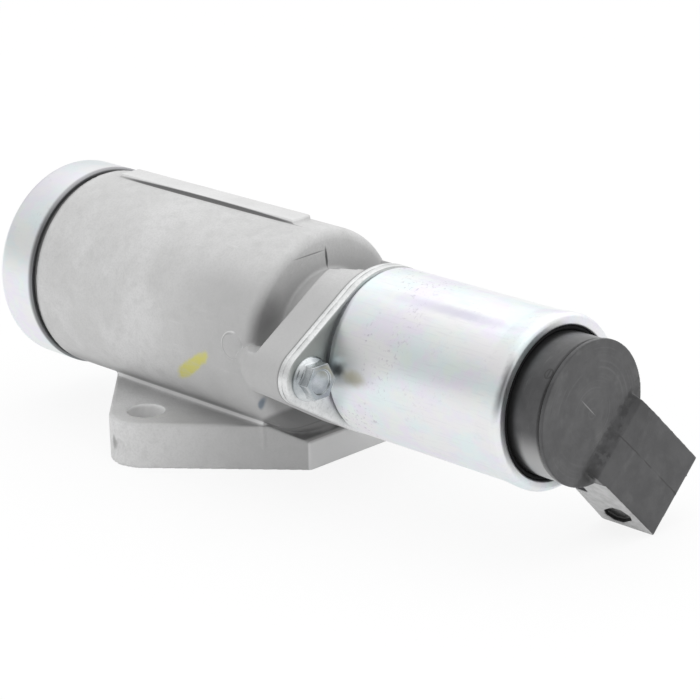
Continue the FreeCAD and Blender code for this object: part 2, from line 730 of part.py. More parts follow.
stem_start = x_head_face - stem_tip
groove_start = stem_tip + seal_thickness - clip_thickness
keep(turned_piece("valve_stem", stem_start, [
    (0.0, 0.0), (x_stem_end - stem_start, 0.0), (x_stem_end - stem_start, stem_radius),
    (groove_start + clip_thickness, stem_radius),
    (groove_start + clip_thickness, stem_radius - clip_depth),
    (groove_start, stem_radius - clip_depth), (groove_start, stem_radius),
    (0.6, stem_radius), (0.0, stem_radius - 0.6)]))
clip = new_body("stem_clip", x_head_face + seal_thickness - clip_thickness, 0.0, axis_height)
turn(clip, "clip_ring", ring_points(
    Size(0.0, "0"), clip_thickness, stem_radius - clip_depth, clip_radius))
primitive(clip, "SubtractiveBox", "clip_mouth",
          (-1.0, -(stem_radius - clip_depth), 0.0),
          Length=clip_thickness + 2.0, Width=(stem_radius - clip_depth) * 2,
          Height=clip_radius + 1.0)
keep(clip)

# O-ring in the face of the pad.
ring_centre = valve_bore_radius + ring_section / 2 + 0.05


def o_ring(label, x, middle_radius, section_radius):
    ring = doc.addObject("Part::Torus", label)
    ring.Label = label
    bind(ring, Radius1=middle_radius, Radius2=section_radius)
    bind_place(ring, x, 0.0, axis_height, ALONG_X)
    return keep(ring)


o_ring("flange_seal", x_pad_face - ring_section * 0.42, ring_centre, ring_section * 0.42)

# Steel flange plate with its two ears and the collar that the can stands on.
plate = new_body("flange_plate", 0.0, 0.0, axis_height)
plate_sketch = new_sketch(plate, "YZ_Plane", "plate_outline", x_pad_face)
draw_ear_outline(plate_sketch, pad_radius, ear_radius, ear_distance, Size(0.0, "0"))
pad_outline(plate, plate_sketch, "plate_blank", plate_thickness)
primitive(plate, "AdditiveCylinder", "plate_collar", (x_plate_face - 0.5, 0.0, 0.0, ALONG_X),
          Radius=collar_radius, Height=collar_height + 0.5)
primitive(plate, "SubtractiveCylinder", "plate_bore", (x_pad_face - 1.0, 0.0, 0.0, ALONG_X),
          Radius=pole_spigot_radius + assembly_clearance,
          Height=plate_thickness + collar_height + 2.0)
for side, sign in (("near", -1), ("far", 1)):
    primitive(plate, "SubtractiveCylinder", "plate_hole_" + side,
              (x_pad_face - 1.0, ear_distance * sign, 0.0, ALONG_X),
              Radius=plate_hole_radius, Height=plate_thickness + 2.0)
keep(plate)

# Hex flange screws, head first, one body for each and both in one node.
screws = []
for side, sign in (("near", -1), ("far", 1)):
    screw = new_body("screw_" + side, x_plate_face, ear_distance * sign, axis_height)
    turn(screw, "screw_turned_" + side, [
        (-screw_length, 0.0), (screw_flange_height, 0.0),
        (screw_flange_height + screw_cone_height, 0.0),
        (screw_flange_height + screw_cone_height, screw_head_flats / 2),
        (screw_flange_height, screw_flange_radius - 0.3),
        (screw_flange_height * 0.5, screw_flange_radius), (0.0, screw_flange_radius),
        (0.0, screw_radius), (-screw_length + 0.8, screw_radius),
        (-screw_length, screw_radius - 0.8)])
    hexagon = new_sketch(screw, "YZ_Plane", "screw_hexagon_" + side,
                         screw_flange_height * 0.5)
    half_flats = screw_head_flats / 2
    side_half = screw_head_flats / (2 * math.sqrt(3))
    draw_outline(hexagon, [
        (side_half * 2, 0.0), (side_half, half_flats), (-side_half, half_flats),
        (-side_half * 2, 0.0), (-side_half, -half_flats), (side_half, -half_flats)])
    pad_outline(screw, hexagon, "screw_hex_" + side,
                screw_head_height - screw_flange_height * 0.5)
    primitive(screw, "SubtractiveCylinder", "screw_dimple_" + side,
              (screw_head_height - screw_dimple_depth, 0.0, 0.0, ALONG_X),
              Radius=screw_dimple_radius, Height=screw_dimple_depth + 1.0)
    screws.append(screw)
screw_pair = doc.addObject("Part::Compound", "flange_screws")
screw_pair.Label = "flange_screws"
screw_pair.Links = screws
doc.recompute()
keep(screw_pair)

# Solenoid can: drawn cup, its floor on the plate's collar and its rear edge rolled in.
can = new_body("solenoid_can", x_can_front, 0.0, axis_height)
can_shell = turn(can, "can_shell", [
    (0.0, pole_spigot_radius + assembly_clearance),
    (can_wall, pole_spigot_radius + assembly_clearance), (can_wall, can_bore),
    (can_length - can_wall, can_bore), (can_length - can_wall * 0.5, can_lip_radius),
    (can_length, can_lip_radius), (can_length, can_bead_radius),
    (can_length - can_lip_round, can_bead_radius), (can_length - can_bead_run, can_radius),
    (0.0, can_radius)])
can_rear = round_off(can, can_shell, "can_rear_roll",
                     arc_edges(can_shell.Shape, can_length, can_bead_radius), can_lip_round)
round_off(can, can_rear, "can_front_rounding",
          arc_edges(can_rear.Shape, 0.0, can_radius), can_front_round)
keep(can)

# Front pole: flux disc with a nose through the plate, its bush, and the guide tube.
keep(turned_piece("front_pole", x_pad_face - pole_spigot_reach, [
    (0.0, bush_radius), (x_pole_rear - x_pad_face + pole_spigot_reach, bush_radius),
    (x_pole_rear - x_pad_face + pole_spigot_reach, guide_radius - 2.4),
    (x_pole_rear - x_pad_face + pole_spigot_reach - pole_recess, guide_radius - 2.4),
    (x_pole_rear - x_pad_face + pole_spigot_reach - pole_recess, guide_radius),
    (x_pole_rear - x_pad_face + pole_spigot_reach, guide_radius),
    (x_pole_rear - x_pad_face + pole_spigot_reach, can_bore - assembly_clearance),
    (x_pole_face - x_pad_face + pole_spigot_reach, can_bore - assembly_clearance),
    (x_pole_face - x_pad_face + pole_spigot_reach, pole_spigot_radius),
    (1.0, pole_spigot_radius), (0.0, pole_spigot_radius - 1.0)]))
keep(turned_piece("stem_bush", x_pad_face - pole_spigot_reach, [
    (0.0, stem_radius + running_clearance),
    (x_pole_rear - x_pad_face + pole_spigot_reach, stem_radius + running_clearance),
    (x_pole_rear - x_pad_face + pole_spigot_reach, bush_radius), (0.0, bush_radius)]))
keep(turned_piece("guide_tube", x_pole_rear - pole_recess, ring_points(
    Size(0.0, "0"), x_plug_seat - x_pole_rear + pole_recess, guide_bore, guide_radius)))

# Armature with the stem in its nose and the spring's pocket in its tail.
keep(turned_piece("armature", x_armature, [
    (0.0, stem_radius), (stem_socket, stem_radius), (stem_socket, 0.0),
    (armature_length - spring_pocket, 0.0),
    (armature_length - spring_pocket, spring_bore_radius),
    (armature_length, spring_bore_radius),
    (armature_length, guide_bore - armature_clearance - 1.0),
    (armature_length - 1.0, guide_bore - armature_clearance),
    (1.0, guide_bore - armature_clearance), (0.0, guide_bore - armature_clearance - 1.0)]))

# Fixed core, adjuster, flux plate.
keep(turned_piece("rear_pole", x_core, [
    (0.0, spring_bore_radius), (x_plug_seat - x_core, spring_bore_radius),
    (x_plug_seat - x_core, guide_bore), (0.8, guide_bore), (0.0, guide_bore - 0.8)]))
adjuster = new_body("spring_adjuster", x_plug_seat - adjuster_length, 0.0, axis_height)
turn(adjuster, "adjuster_turned", [
    (0.0, 0.0), (adjuster_length, 0.0), (adjuster_length, spring_bore_radius),
    (0.0, spring_bore_radius)])
primitive(adjuster, "SubtractiveBox", "adjuster_slot",
          (adjuster_length - adjuster_slot, -spring_bore_radius - 1.0, -adjuster_slot / 2),
          Length=adjuster_slot + 1.0, Width=spring_bore_radius * 2 + 2.0, Height=adjuster_slot)
keep(adjuster)
keep(turned_piece("rear_plate", x_rear_plate, ring_points(
    Size(0.0, "0"), rear_plate_thickness, guide_radius, can_bore - assembly_clearance)))

# Return spring: a round wire helix between the armature's pocket and the adjuster.
spring_from = x_armature_rear - spring_pocket
spring_to = x_plug_seat - adjuster_length
wire_radius = float(spring_wire_radius)
coil_radius = float(spring_radius)
spring_run = float(spring_to - spring_from) - 2 * wire_radius - 0.04
helix = Part.makeHelix(spring_run / float(spring_turns), spring_run, coil_radius)
wire_section = Part.Wire([Part.makeCircle(wire_radius, Vector(coil_radius, 0, 0),
                                          Vector(0, 1, 0))])
coil = Part.Wire(helix.Edges).makePipeShell([wire_section], True, True)
return_spring = doc.addObject("Part::Feature", "return_spring")
return_spring.Label = "return_spring"
return_spring.Shape = coil
bind_place(return_spring, spring_from + spring_wire_radius + 0.02, 0.0, axis_height, ALONG_X)
keep(return_spring)

# Bobbin and its winding.
bobbin_length = x_rear_plate - x_pole_rear
hub_radius = guide_radius + assembly_clearance + bobbin_hub_wall
keep(turned_piece("bobbin", x_pole_rear, [
    (0.0, guide_radius + assembly_clearance), (bobbin_length, guide_radius + assembly_clearance),
    (bobbin_length, can_bore - 0.6), (bobbin_length - bobbin_wall, can_bore - 0.6),
    (bobbin_length - bobbin_wall, hub_radius), (bobbin_wall, hub_radius),
    (bobbin_wall, can_bore - 0.6), (0.0, can_bore - 0.6)]))
keep(turned_piece("coil_winding", x_pole_rear + bobbin_wall, ring_points(
    Size(0.0, "0"), bobbin_length - bobbin_wall * 2, hub_radius, hub_radius + winding_depth)))

# Plug and connector, moulded in one. The body is turned about the axis, so that
# its own -Z is the way the connector points and its own Y runs across the connector.
plug = new_body("plug_body", 0.0, 0.0, axis_height,
                Rotation(Vector(1, 0, 0), float(connector_turn)))
plug.setExpression("Placement.Rotation.Angle", connector_turn.text)
turn(plug, "plug_turned", [
    (x_plug_seat, 0.0), (x_plug_face, 0.0), (x_plug_face, plug_face_radius),
    (x_plug_face - plug_face_thickness, plug_face_radius),
    (x_plug_face - plug_face_thickness, plug_radius),
    (x_plug_seat + plug_flange_thickness, plug_radius),
    (x_plug_seat + plug_flange_thickness, plug_flange_radius),
    (x_plug_seat, plug_flange_radius)])
x_mouth_front = x_plug_face + connector_mouth_rise
x_mouth_back = x_mouth_front - connector_depth
x_neck_back = x_plug_face + connector_bend_rise - connector_neck
side_sketch = new_sketch(plug, "XZ_Plane", "connector_side")
draw_outline(side_sketch, [
    (x_plug_face - plug_face_thickness, -connector_root), (x_plug_face, -connector_root),
    (x_plug_face + connector_ramp_rise, -connector_ramp_end),
    (x_plug_face + connector_bend_rise, -connector_bend),
    (x_mouth_front, -connector_reach), (x_mouth_back, -connector_reach),
    (x_mouth_back, -connector_back), (x_neck_back, -connector_back),
    (x_neck_back, -connector_root)])
pad_outline(plug, side_sketch, "connector_block", connector_width, True)
socket_sketch = new_sketch(plug, "XY_Plane", "socket_outline", -connector_reach)
socket_front = x_mouth_front - socket_wall - socket_front_extra
draw_outline(socket_sketch, [
    (x_mouth_back + socket_wall, -(connector_width / 2 - socket_wall)),
    (socket_front, -(connector_width / 2 - socket_wall)),
    (socket_front, connector_width / 2 - socket_wall),
    (x_mouth_back + socket_wall, connector_width / 2 - socket_wall)])
socket = plug.newObject("PartDesign::Pocket", "socket")
socket.Profile = socket_sketch
bind(socket, Length=socket_depth)
socket.Reversed = True
doc.recompute()
x_window = x_mouth_front - window_from_front
z_window = -(connector_reach - window_from_mouth)
tilt_cos = Size(math.cos(math.radians(float(window_tilt))), "cos(sizes.window_tilt * 1 deg)")
tilt_sin = Size(math.sin(math.radians(float(window_tilt))), "sin(sizes.window_tilt * 1 deg)")
window_corners = []
for along, across in ((1, -0.45), (1, 0.45), (0.55, 1), (-0.55, 1),
                      (-1, 0.45), (-1, -0.45), (-0.55, -1), (0.55, -1)):
    long_way, short_way = window_half * along, window_radius * across
    window_corners.append((x_window + long_way * tilt_cos - short_way * tilt_sin,
                           z_window + long_way * tilt_sin + short_way * tilt_cos))
for side, sign in (("near", 1), ("far", -1)):
    window_sketch = new_sketch(plug, "XZ_Plane", "window_outline_" + side, connector_width / 2 * sign)
    draw_outline(window_sketch, window_corners)
    window = plug.newObject("PartDesign::Pocket", "latch_recess_" + side)
    window.Profile = window_sketch
    bind(window, Length=window_depth)
    window.Reversed = sign < 0
doc.recompute()
x_blades = (x_mouth_back + socket_wall + socket_front) / 2
socket_floor = connector_reach - socket_depth
for side, sign in (("near", -1), ("far", 1)):
    primitive(plug, "SubtractiveBox", "blade_slot_" + side,
              (x_blades - blade_thickness / 2,
               blade_pitch / 2 * sign - blade_width / 2, -socket_floor - 0.5),
              Length=blade_thickness, Width=blade_width, Height=blade_root + 0.5)
keep(plug)

# Two terminal blades, both in one node.
blades = []
for side, sign in (("near", -1), ("far", 1)):
    blade = new_body("blade_" + side, 0.0, 0.0, axis_height,
                     Rotation(Vector(1, 0, 0), float(connector_turn)))
    blade.setExpression("Placement.Rotation.Angle", connector_turn.text)
    primitive(blade, "AdditiveBox", "blade_strip_" + side,
              (x_blades - blade_thickness / 2,
               blade_pitch / 2 * sign - blade_width / 2, -socket_floor - blade_length),
              Length=blade_thickness, Width=blade_width, Height=blade_length + blade_root)
    blades.append(blade)
blade_pair = doc.addObject("Part::Compound", "terminal_pins")
blade_pair.Label = "terminal_pins"
blade_pair.Links = blades
doc.recompute()
keep(blade_pair)

# O-ring in the gap between the plug and the can's rolled edge.
o_ring("plug_seal", x_can_rear - can_wall + plug_seal_radius,
       plug_radius + plug_seal_radius + 0.02, plug_seal_radius)

doc.recompute()

faults = []
for thing in doc.Objects:
    if "Invalid" in thing.State or "Error" in thing.State:
        faults.append(thing.Name + " " + ",".join(thing.State))
for piece in pieces:
    if piece.Shape.isNull() or not piece.Shape.isValid():
        faults.append(piece.Label + " has no valid shape")
    elif piece.Shape.Volume <= 0:
        faults.append(piece.Label + " has no volume")
if faults:
    raise RuntimeError("; ".join(faults))

os.makedirs("parts", exist_ok=True)
for piece in pieces:
    piece.Shape.exportStep("parts/" + piece.Label + ".step")
    box = piece.Shape.BoundBox
    print(piece.Label, len(piece.Shape.Solids), round(piece.Shape.Volume, 1),
          [round(n, 2) for n in (box.XMin, box.XMax, box.YMin, box.YMax, box.ZMin, box.ZMax)])
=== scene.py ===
import json
import math

import bmesh
import bpy
import numpy as np
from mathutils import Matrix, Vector


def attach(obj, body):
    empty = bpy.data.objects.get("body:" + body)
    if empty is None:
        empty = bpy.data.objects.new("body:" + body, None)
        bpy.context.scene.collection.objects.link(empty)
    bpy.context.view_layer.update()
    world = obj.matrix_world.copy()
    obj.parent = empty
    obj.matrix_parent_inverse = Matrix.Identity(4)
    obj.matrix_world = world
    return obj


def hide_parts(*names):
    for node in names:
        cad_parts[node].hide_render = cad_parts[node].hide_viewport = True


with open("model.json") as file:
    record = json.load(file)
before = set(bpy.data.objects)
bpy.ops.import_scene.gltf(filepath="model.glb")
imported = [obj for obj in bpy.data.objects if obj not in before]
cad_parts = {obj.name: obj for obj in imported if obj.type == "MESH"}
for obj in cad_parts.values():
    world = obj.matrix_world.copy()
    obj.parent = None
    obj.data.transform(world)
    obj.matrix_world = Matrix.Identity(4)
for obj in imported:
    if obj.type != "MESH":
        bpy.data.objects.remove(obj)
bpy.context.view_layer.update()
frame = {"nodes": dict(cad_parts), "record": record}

# Lengths are in millimetres up to the meshes, which are in metres.
MM = 0.001
AXIS_Z = 33.0
AXIS = Vector((0.0, 0.0, AXIS_Z))

# Housing
CHAMBER_RADIUS = 25.0
CHAMBER_START = -55.6
CHAMBER_END = 22.1
SPIGOT_RADIUS = 24.2
STRIP_TOP = 58.9
BASE_TOP = 11.4
LEDGE_TOP = 12.9
BOLT_HOLES = ((-14.014, -26.314), (14.014, 26.314))
EJECTOR_MIDDLE = (16.3, -24.9, 34.7)
# Under the chamber's end a slope starts at its top and falls by SLOPE_FALL a millimetre.
SLOPE_START = 15.0
SLOPE_END = 23.2
SLOPE_TOP = 12.6
SLOPE_FALL = 0.65

# End cap
CAP_END = -70.0
CAP_EDGE = -57.0
CAP_RADIUS = 25.45
CAP_WALL = 1.2

# Flange plate
PAD_FACE = 38.9
PLATE_FACE = 42.2
PLATE_MIDDLE_RADIUS = 20.2
PLATE_SCREW_HOLE = 2.8
EAR_RADIUS = 6.8
EAR_DISTANCE = 25.4
STEM_OPENING = 10.05

# Solenoid can
CAN_FRONT = 42.7
CAN_REAR = 95.1
CAN_RADIUS = 20.0
CAN_BEAD_RADIUS = 20.4
CAN_WALL = 1.5
CAN_LIP_RADIUS = 17.5

# Plug and connector
PLUG_RADIUS = 16.5
PLUG_FACE_RADIUS = 16.8
PLUG_FACE = 104.7
MARK_X = 102.05
CONNECTOR_TURN = math.radians(43.25)
CONNECTOR_OUTER = 109.2

ALONG_WAY = (1, 0, 0)
SIDE_WAY = (0, 1, 0)
UP_WAY = (0, 0, 1)
# Across the connector and down it, away from the valve's axis.
ACROSS_WAY = (0.0, math.cos(CONNECTOR_TURN), math.sin(CONNECTOR_TURN))
DOWN_WAY = (0.0, math.sin(CONNECTOR_TURN), -math.cos(CONNECTOR_TURN))


# Materials

class Nodes:
    """Adds nodes to one shader tree and links them."""

    def __init__(self, tree):
        self.tree = tree

    def add(self, kind, **settings):
        node = self.tree.nodes.new(kind)
        for key, value in settings.items():
            setattr(node, key, value)
        return node

    def feed(self, socket, value):
        if hasattr(value, "is_output"):
            self.tree.links.new(value, socket)
        else:
            socket.default_value = value

    def calc(self, kind, *values):
        node = self.add("ShaderNodeMath", operation=kind)
        for index, value in enumerate(values):
            self.feed(node.inputs[index], value)
        return node.outputs[0]

    def vector(self, kind, *values):
        node = self.add("ShaderNodeVectorMath", operation=kind)
        for index, value in enumerate(values):
            self.feed(node.inputs[index], value)
        return node.outputs["Value" if kind in ("DOT_PRODUCT", "LENGTH") else "Vector"]

    def span(self, value, low, high, to_low=0.0, to_high=1.0, smooth=True):
        """A value mapped from one range to another and held at its ends."""
        node = self.add("ShaderNodeMapRange")
        node.interpolation_type = "SMOOTHSTEP" if smooth else "LINEAR"
        for index, entry in enumerate((value, low, high, to_low, to_high)):
            self.feed(node.inputs[index], entry)
        return node.outputs[0]

    def fade(self, value, low, high, most=1.0):
        """A share that falls from the most to nothing between two values."""
        return self.span(value, low, high, most, 0.0)


class Paint(Nodes):
    """Builds one node material, with places and lengths in the object's own millimetres."""

    def __init__(self, name):
        self.material = bpy.data.materials.new(name)
        self.material.use_nodes = True
        super().__init__(self.material.node_tree)
        self.shader = next(n for n in self.tree.nodes if n.type == "BSDF_PRINCIPLED")
        self.place = self.add("ShaderNodeTexCoord").outputs["Object"]

    def noise(self, size, detail=3.0, stretch=(1, 1, 1), rough=0.5):
        """Noise whose features are about size millimetres across, longer where stretch is more."""
        scaled = self.vector("MULTIPLY", self.place, tuple(1000.0 / (size * s) for s in stretch))
        node = self.add("ShaderNodeTexNoise")
        self.feed(node.inputs["Vector"], scaled)
        node.inputs["Scale"].default_value = 1.0
        node.inputs["Detail"].default_value = detail
        node.inputs["Roughness"].default_value = rough
        return node.outputs["Fac"]

    def along(self, way, centre=(0.0, 0.0, 0.0)):
        """How far a point lies along a direction, in millimetres."""
        offset = self.vector("SUBTRACT", self.place, tuple(Vector(centre) * MM))
        return self.vector("DOT_PRODUCT", offset, tuple(Vector(way) * 1000.0))

    def from_axis(self):
        """How far a point lies from the valve's axis, in millimetres."""
        centred = self.vector("SUBTRACT", self.place, tuple(AXIS * MM))
        return self.vector("LENGTH", self.vector("MULTIPLY", centred, (0.0, 1000.0, 1000.0)))

    def product(self, *shares):
        """A share that is high only where all the given ones are."""
        joined = shares[0]
        for share in shares[1:]:
            joined = self.calc("MULTIPLY", joined, share)
        return joined

    def blend(self, share, first, second):
        node = self.add("ShaderNodeMix", data_type="RGBA")
        self.feed(node.inputs[0], share)
        for socket, colour in ((node.inputs[6], first), (node.inputs[7], second)):
            self.feed(socket, colour if hasattr(colour, "is_output") else (*colour, 1.0))
        return node.outputs[2]

    def tone(self, colour, share, target, amount=1.0):
        """The colour turned towards a grey or a colour where the share says, by the amount at most."""
        if amount != 1.0:
            share = self.calc("MULTIPLY", share, amount)
        return self.blend(share, colour, target if isinstance(target, tuple) else (target,) * 3)

    def spot(self, centre, long_way, half_long, half_wide, half_deep, outward, ragged=0.0):
        """How far a point is from a mark's middle, 1 at its edge."""
        middle = Vector(centre) * MM
        along = Vector(long_way).normalized()
        out = Vector(outward).normalized()
        along = (along - out * along.dot(out)).normalized()
        across = out.cross(along)
        offset = self.vector("SUBTRACT", self.place, tuple(middle))
        parts = []
        for way, half in ((along, half_long), (across, half_wide), (out, half_deep)):
            parts.append(self.vector("DOT_PRODUCT", offset, tuple(way / (half * MM))))
        joined = self.add("ShaderNodeCombineXYZ")
        for index, part in enumerate(parts):
            self.feed(joined.inputs[index], part)
        reach = self.vector("LENGTH", joined.outputs[0])
        if ragged:
            wobble = self.calc("MULTIPLY", self.calc("SUBTRACT", self.noise(3.0, 5.0), 0.5), ragged)
            reach = self.calc("ADD", reach, wobble)
        return reach

    def bump(self, height, distance, strength=1.0, before=None):
        """A normal raised by the height, up to the distance in millimetres."""
        node = self.add("ShaderNodeBump")
        node.inputs["Strength"].default_value = strength
        node.inputs["Distance"].default_value = distance * MM
        self.feed(node.inputs["Height"], height)
        if before is not None:
            self.feed(node.inputs["Normal"], before)
        return node.outputs["Normal"]

    def finish(self, colour, rough, metal, normal=None, specular=0.5):
        self.feed(self.shader.inputs["Base Color"],
                  colour if hasattr(colour, "is_output") else (*colour, 1.0))
        self.feed(self.shader.inputs["Roughness"], rough)
        self.shader.inputs["Metallic"].default_value = metal
        self.shader.inputs["Specular IOR Level"].default_value = specular
        if normal is not None:
            self.feed(self.shader.inputs["Normal"], normal)
        return self.material


def cast_light_and_shade(p, colour, cloud):
    """Painted shade and painted light on the casting: its near side, raised strip, crevices, ledge,
    base, underside, gate stub and drilled holes.
    """
    along, across, height = p.along(ALONG_WAY), p.along(SIDE_WAY), p.along(UP_WAY)
    reach = p.from_axis()
    # Painted shade: the near side below the top darkens towards the chamber's end.
    side_shade = p.product(p.span(along, -18.0, 12.0), p.fade(height, 46.0, 55.0),
                     p.span(cloud, 0.25, 0.6, 0.7, 1.0))
    colour = p.tone(colour, side_shade, 0.40, 0.75)
    # Painted highlight along the top of the raised strip.
    strip_highlight = p.product(p.span(height, STRIP_TOP - 0.55, STRIP_TOP - 0.3),
                     p.span(across, -1.0, 1.5, 1.0, 0.6))
    colour = p.tone(colour, strip_highlight, 0.83, 0.55)

    # Painted shade beside the raised strip, at the chamber's start and in the cap's groove
    strip = p.spot((-16.8, -0.82, 58.2), ALONG_WAY, 31.6, 0.42, 3.0, UP_WAY)
    colour = p.tone(colour, p.fade(strip, 0.8, 1.15, 0.92), 0.09)
    shade = p.product(p.fade(along, CHAMBER_START - 0.1, CHAMBER_START + 1.3, 0.45),
                      p.span(reach, 23.4, 23.7))
    colour = p.tone(colour, shade, 0.12)
    groove = p.product(p.fade(along, CHAMBER_START - 0.3, CHAMBER_START), p.span(reach, 23.4, 23.7))
    colour = p.tone(colour, groove, 0.15)

    # Painted highlight on the ledge between chamber and base, painted shade on the base's top beside it
    # and in the valley behind the ear
    ledge = p.product(p.span(height, BASE_TOP + 0.1, BASE_TOP + 0.4),
                      p.fade(height, LEDGE_TOP, LEDGE_TOP + 0.4), p.span(across, -14.2, -14.5),
                      p.fade(along, 20.0, 22.0))
    colour = p.tone(colour, ledge, 0.74, 0.75)
    foot_shade = p.product(p.span(height, BASE_TOP + 0.05, BASE_TOP - 0.1), p.span(height, 10.9, 11.1),
                     p.span(across, -21.5, -15.5), p.span(along, -14.0, 0.0))
    colour = p.tone(colour, foot_shade, 0.20, 0.55)
    valley = p.spot((24.8, -19.5, 41.5), (0, 0.6, 0.8), 8.5, 5.5, 6.5, ALONG_WAY, 0.25)
    colour = p.tone(colour, p.fade(valley, 0.3, 1.1, 0.62), 0.13)

    # Painted light on the base's right face, and painted shade on the chamber's underside and on the
    # slope under the chamber's end, without the base's front face before it
    front_way = (0.643, -0.766, 0.0)
    not_front = p.calc("MAXIMUM", p.fade(p.along(front_way), 20.0, 20.3), p.span(height, 12.2, 12.8))
    not_front = p.calc("MAXIMUM", not_front, p.fade(reach, 25.15, 25.3))
    right = p.product(p.span(along, 22.6, 22.9), p.fade(height, 11.0, 11.3))
    colour = p.tone(colour, right, 0.92, 0.55)
    underside_shade = p.product(p.fade(reach, 25.1, 25.3), p.fade(height, 12.6, 17.5), p.span(across, -8.0, -12.0),
                     p.fade(along, 14.0, 20.0))
    colour = p.tone(colour, underside_shade, 0.28, 0.75)
    rising = p.along((-0.6, 0, 1))
    under = p.product(p.span(height, 7.4, 7.8), p.fade(rising, 3.0, 4.6), p.span(along, 14.3, 15.6),
                      p.fade(along, 30.5, 31.2), p.fade(across, 4.0, 8.0), not_front)
    colour = p.tone(colour, under, 0.10, 0.72)

    # Painted shade on the gate's stub and painted light on the walls of the bolt holes
    gate = p.spot((-16.2, -36.4, 5.3), UP_WAY, 2.6, 1.0, 3.0, (-0.2, -1, 0), 0.3)
    colour = p.tone(colour, p.fade(gate, 0.5, 1.1, 0.55), 0.16)
    low = p.fade(height, BASE_TOP + 0.1, BASE_TOP + 0.3)
    for x, y in BOLT_HOLES:
        bolt = p.spot((x, y, BASE_TOP / 2), ALONG_WAY, 4.62, 4.62, 90.0, UP_WAY)
        colour = p.tone(colour, p.product(p.fade(bolt, 0.99, 1.03), low), 0.80)
    return colour


def cast_marks(p, colour, disc):
    """Yellow paint, blue ink, a painted highlight and painted shade on the ejector's ring, and two
    casting cracks.
    """
    dab = p.spot((0.5, -23.5, 25.7), (15.25, -3.32, 10.57), 9.4, 1.9, 6.0, (0.0, -0.96, -0.28), 1.0)
    brushed = p.span(p.noise(0.9, 3.0, (5, 1, 2)), 0.3, 0.6, 0.62, 0.9)
    colour = p.tone(colour, p.product(p.fade(dab, 0.6, 1.12), brushed), (0.60, 0.565, 0.13))
    ink = p.spot((21.1, -21.7, 19.7), (0.485, -0.417, 0.769), 2.4, 0.8, 5.0, (0.0, -0.87, -0.48), 0.5)
    colour = p.tone(colour, p.fade(ink, 0.4, 1.2, 0.8), (0.11, 0.15, 0.20))
    faded = p.span(p.noise(3.0, 2.0), 0.35, 0.6)
    ejector_highlight = p.product(p.span(disc, 0.92, 0.97), p.fade(disc, 0.99, 1.05), faded)
    colour = p.tone(colour, ejector_highlight, 0.78, 0.55)
    ejector_left_shade = p.product(p.span(disc, 0.80, 0.85), p.fade(disc, 0.87, 0.92),
                         p.fade(p.along((1, 0, -0.4), EJECTOR_MIDDLE), -2.4, 0.0))
    colour = p.tone(colour, ejector_left_shade, 0.22, 0.5)
    crack = p.spot((CHAMBER_END, 0.75, 51.4), (0, 0.1, -1), 2.7, 0.36, 1.5, ALONG_WAY, 0.9)
    colour = p.tone(colour, p.fade(crack, 0.5, 1.15, 0.85), 0.05)
    seam = p.spot((CHAMBER_END, -5.0, 53.25), (0, 1, 0.02), 5.6, 0.20, 1.5, ALONG_WAY, 0.7)
    return p.tone(colour, p.fade(seam, 0.5, 1.1, 0.6), 0.10)


def cast_aluminium():
    p = Paint("cast_aluminium_skin")
    cloud = p.noise(14.0, 5.0, rough=0.6)
    mottle = p.noise(3.0, 4.0)
    grain = p.noise(0.5, 3.0)
    streak = p.noise(1.0, 3.0, (8, 1, 1))
    colour = p.blend(p.span(cloud, 0.35, 0.65), (0.575, 0.575, 0.573), (0.65, 0.65, 0.65))
    # Painted light: the base below its top is made lighter.
    colour = p.tone(colour, p.fade(p.along(UP_WAY), 10.6, 11.2, 0.4), 0.80)
    colour = p.tone(colour, p.span(mottle, 0.45, 0.75, 0.0, 0.30), 0.47)
    colour = p.tone(colour, p.span(grain, 0.35, 0.75, 0.0, 0.28), 0.42)
    scratched = p.product(p.span(streak, 0.60, 0.78),
                          p.span(p.along(ALONG_WAY), -24.0, 0.0, 0.05, 0.28))
    colour = p.tone(colour, scratched, 0.76)
    colour = cast_light_and_shade(p, colour, cloud)
    disc = p.spot(EJECTOR_MIDDLE, ALONG_WAY, 3.7, 3.4, 5.0, (0, -1, 0))
    colour = cast_marks(p, colour, disc)

    pits = p.span(p.noise(1.6, 2.0), 0.72, 0.8)
    normal = p.bump(grain, 0.10, 0.35)
    normal = p.bump(p.noise(2.4, 3.0), 0.14, 0.3, normal)
    normal = p.bump(p.calc("SUBTRACT", p.fade(disc, 0.90, 0.98), pits), 0.14, 0.5, normal)
    rough = p.span(cloud, 0.2, 0.8, 0.5, 0.62)
    return p.finish(colour, rough, 0.2, normal, 0.4)


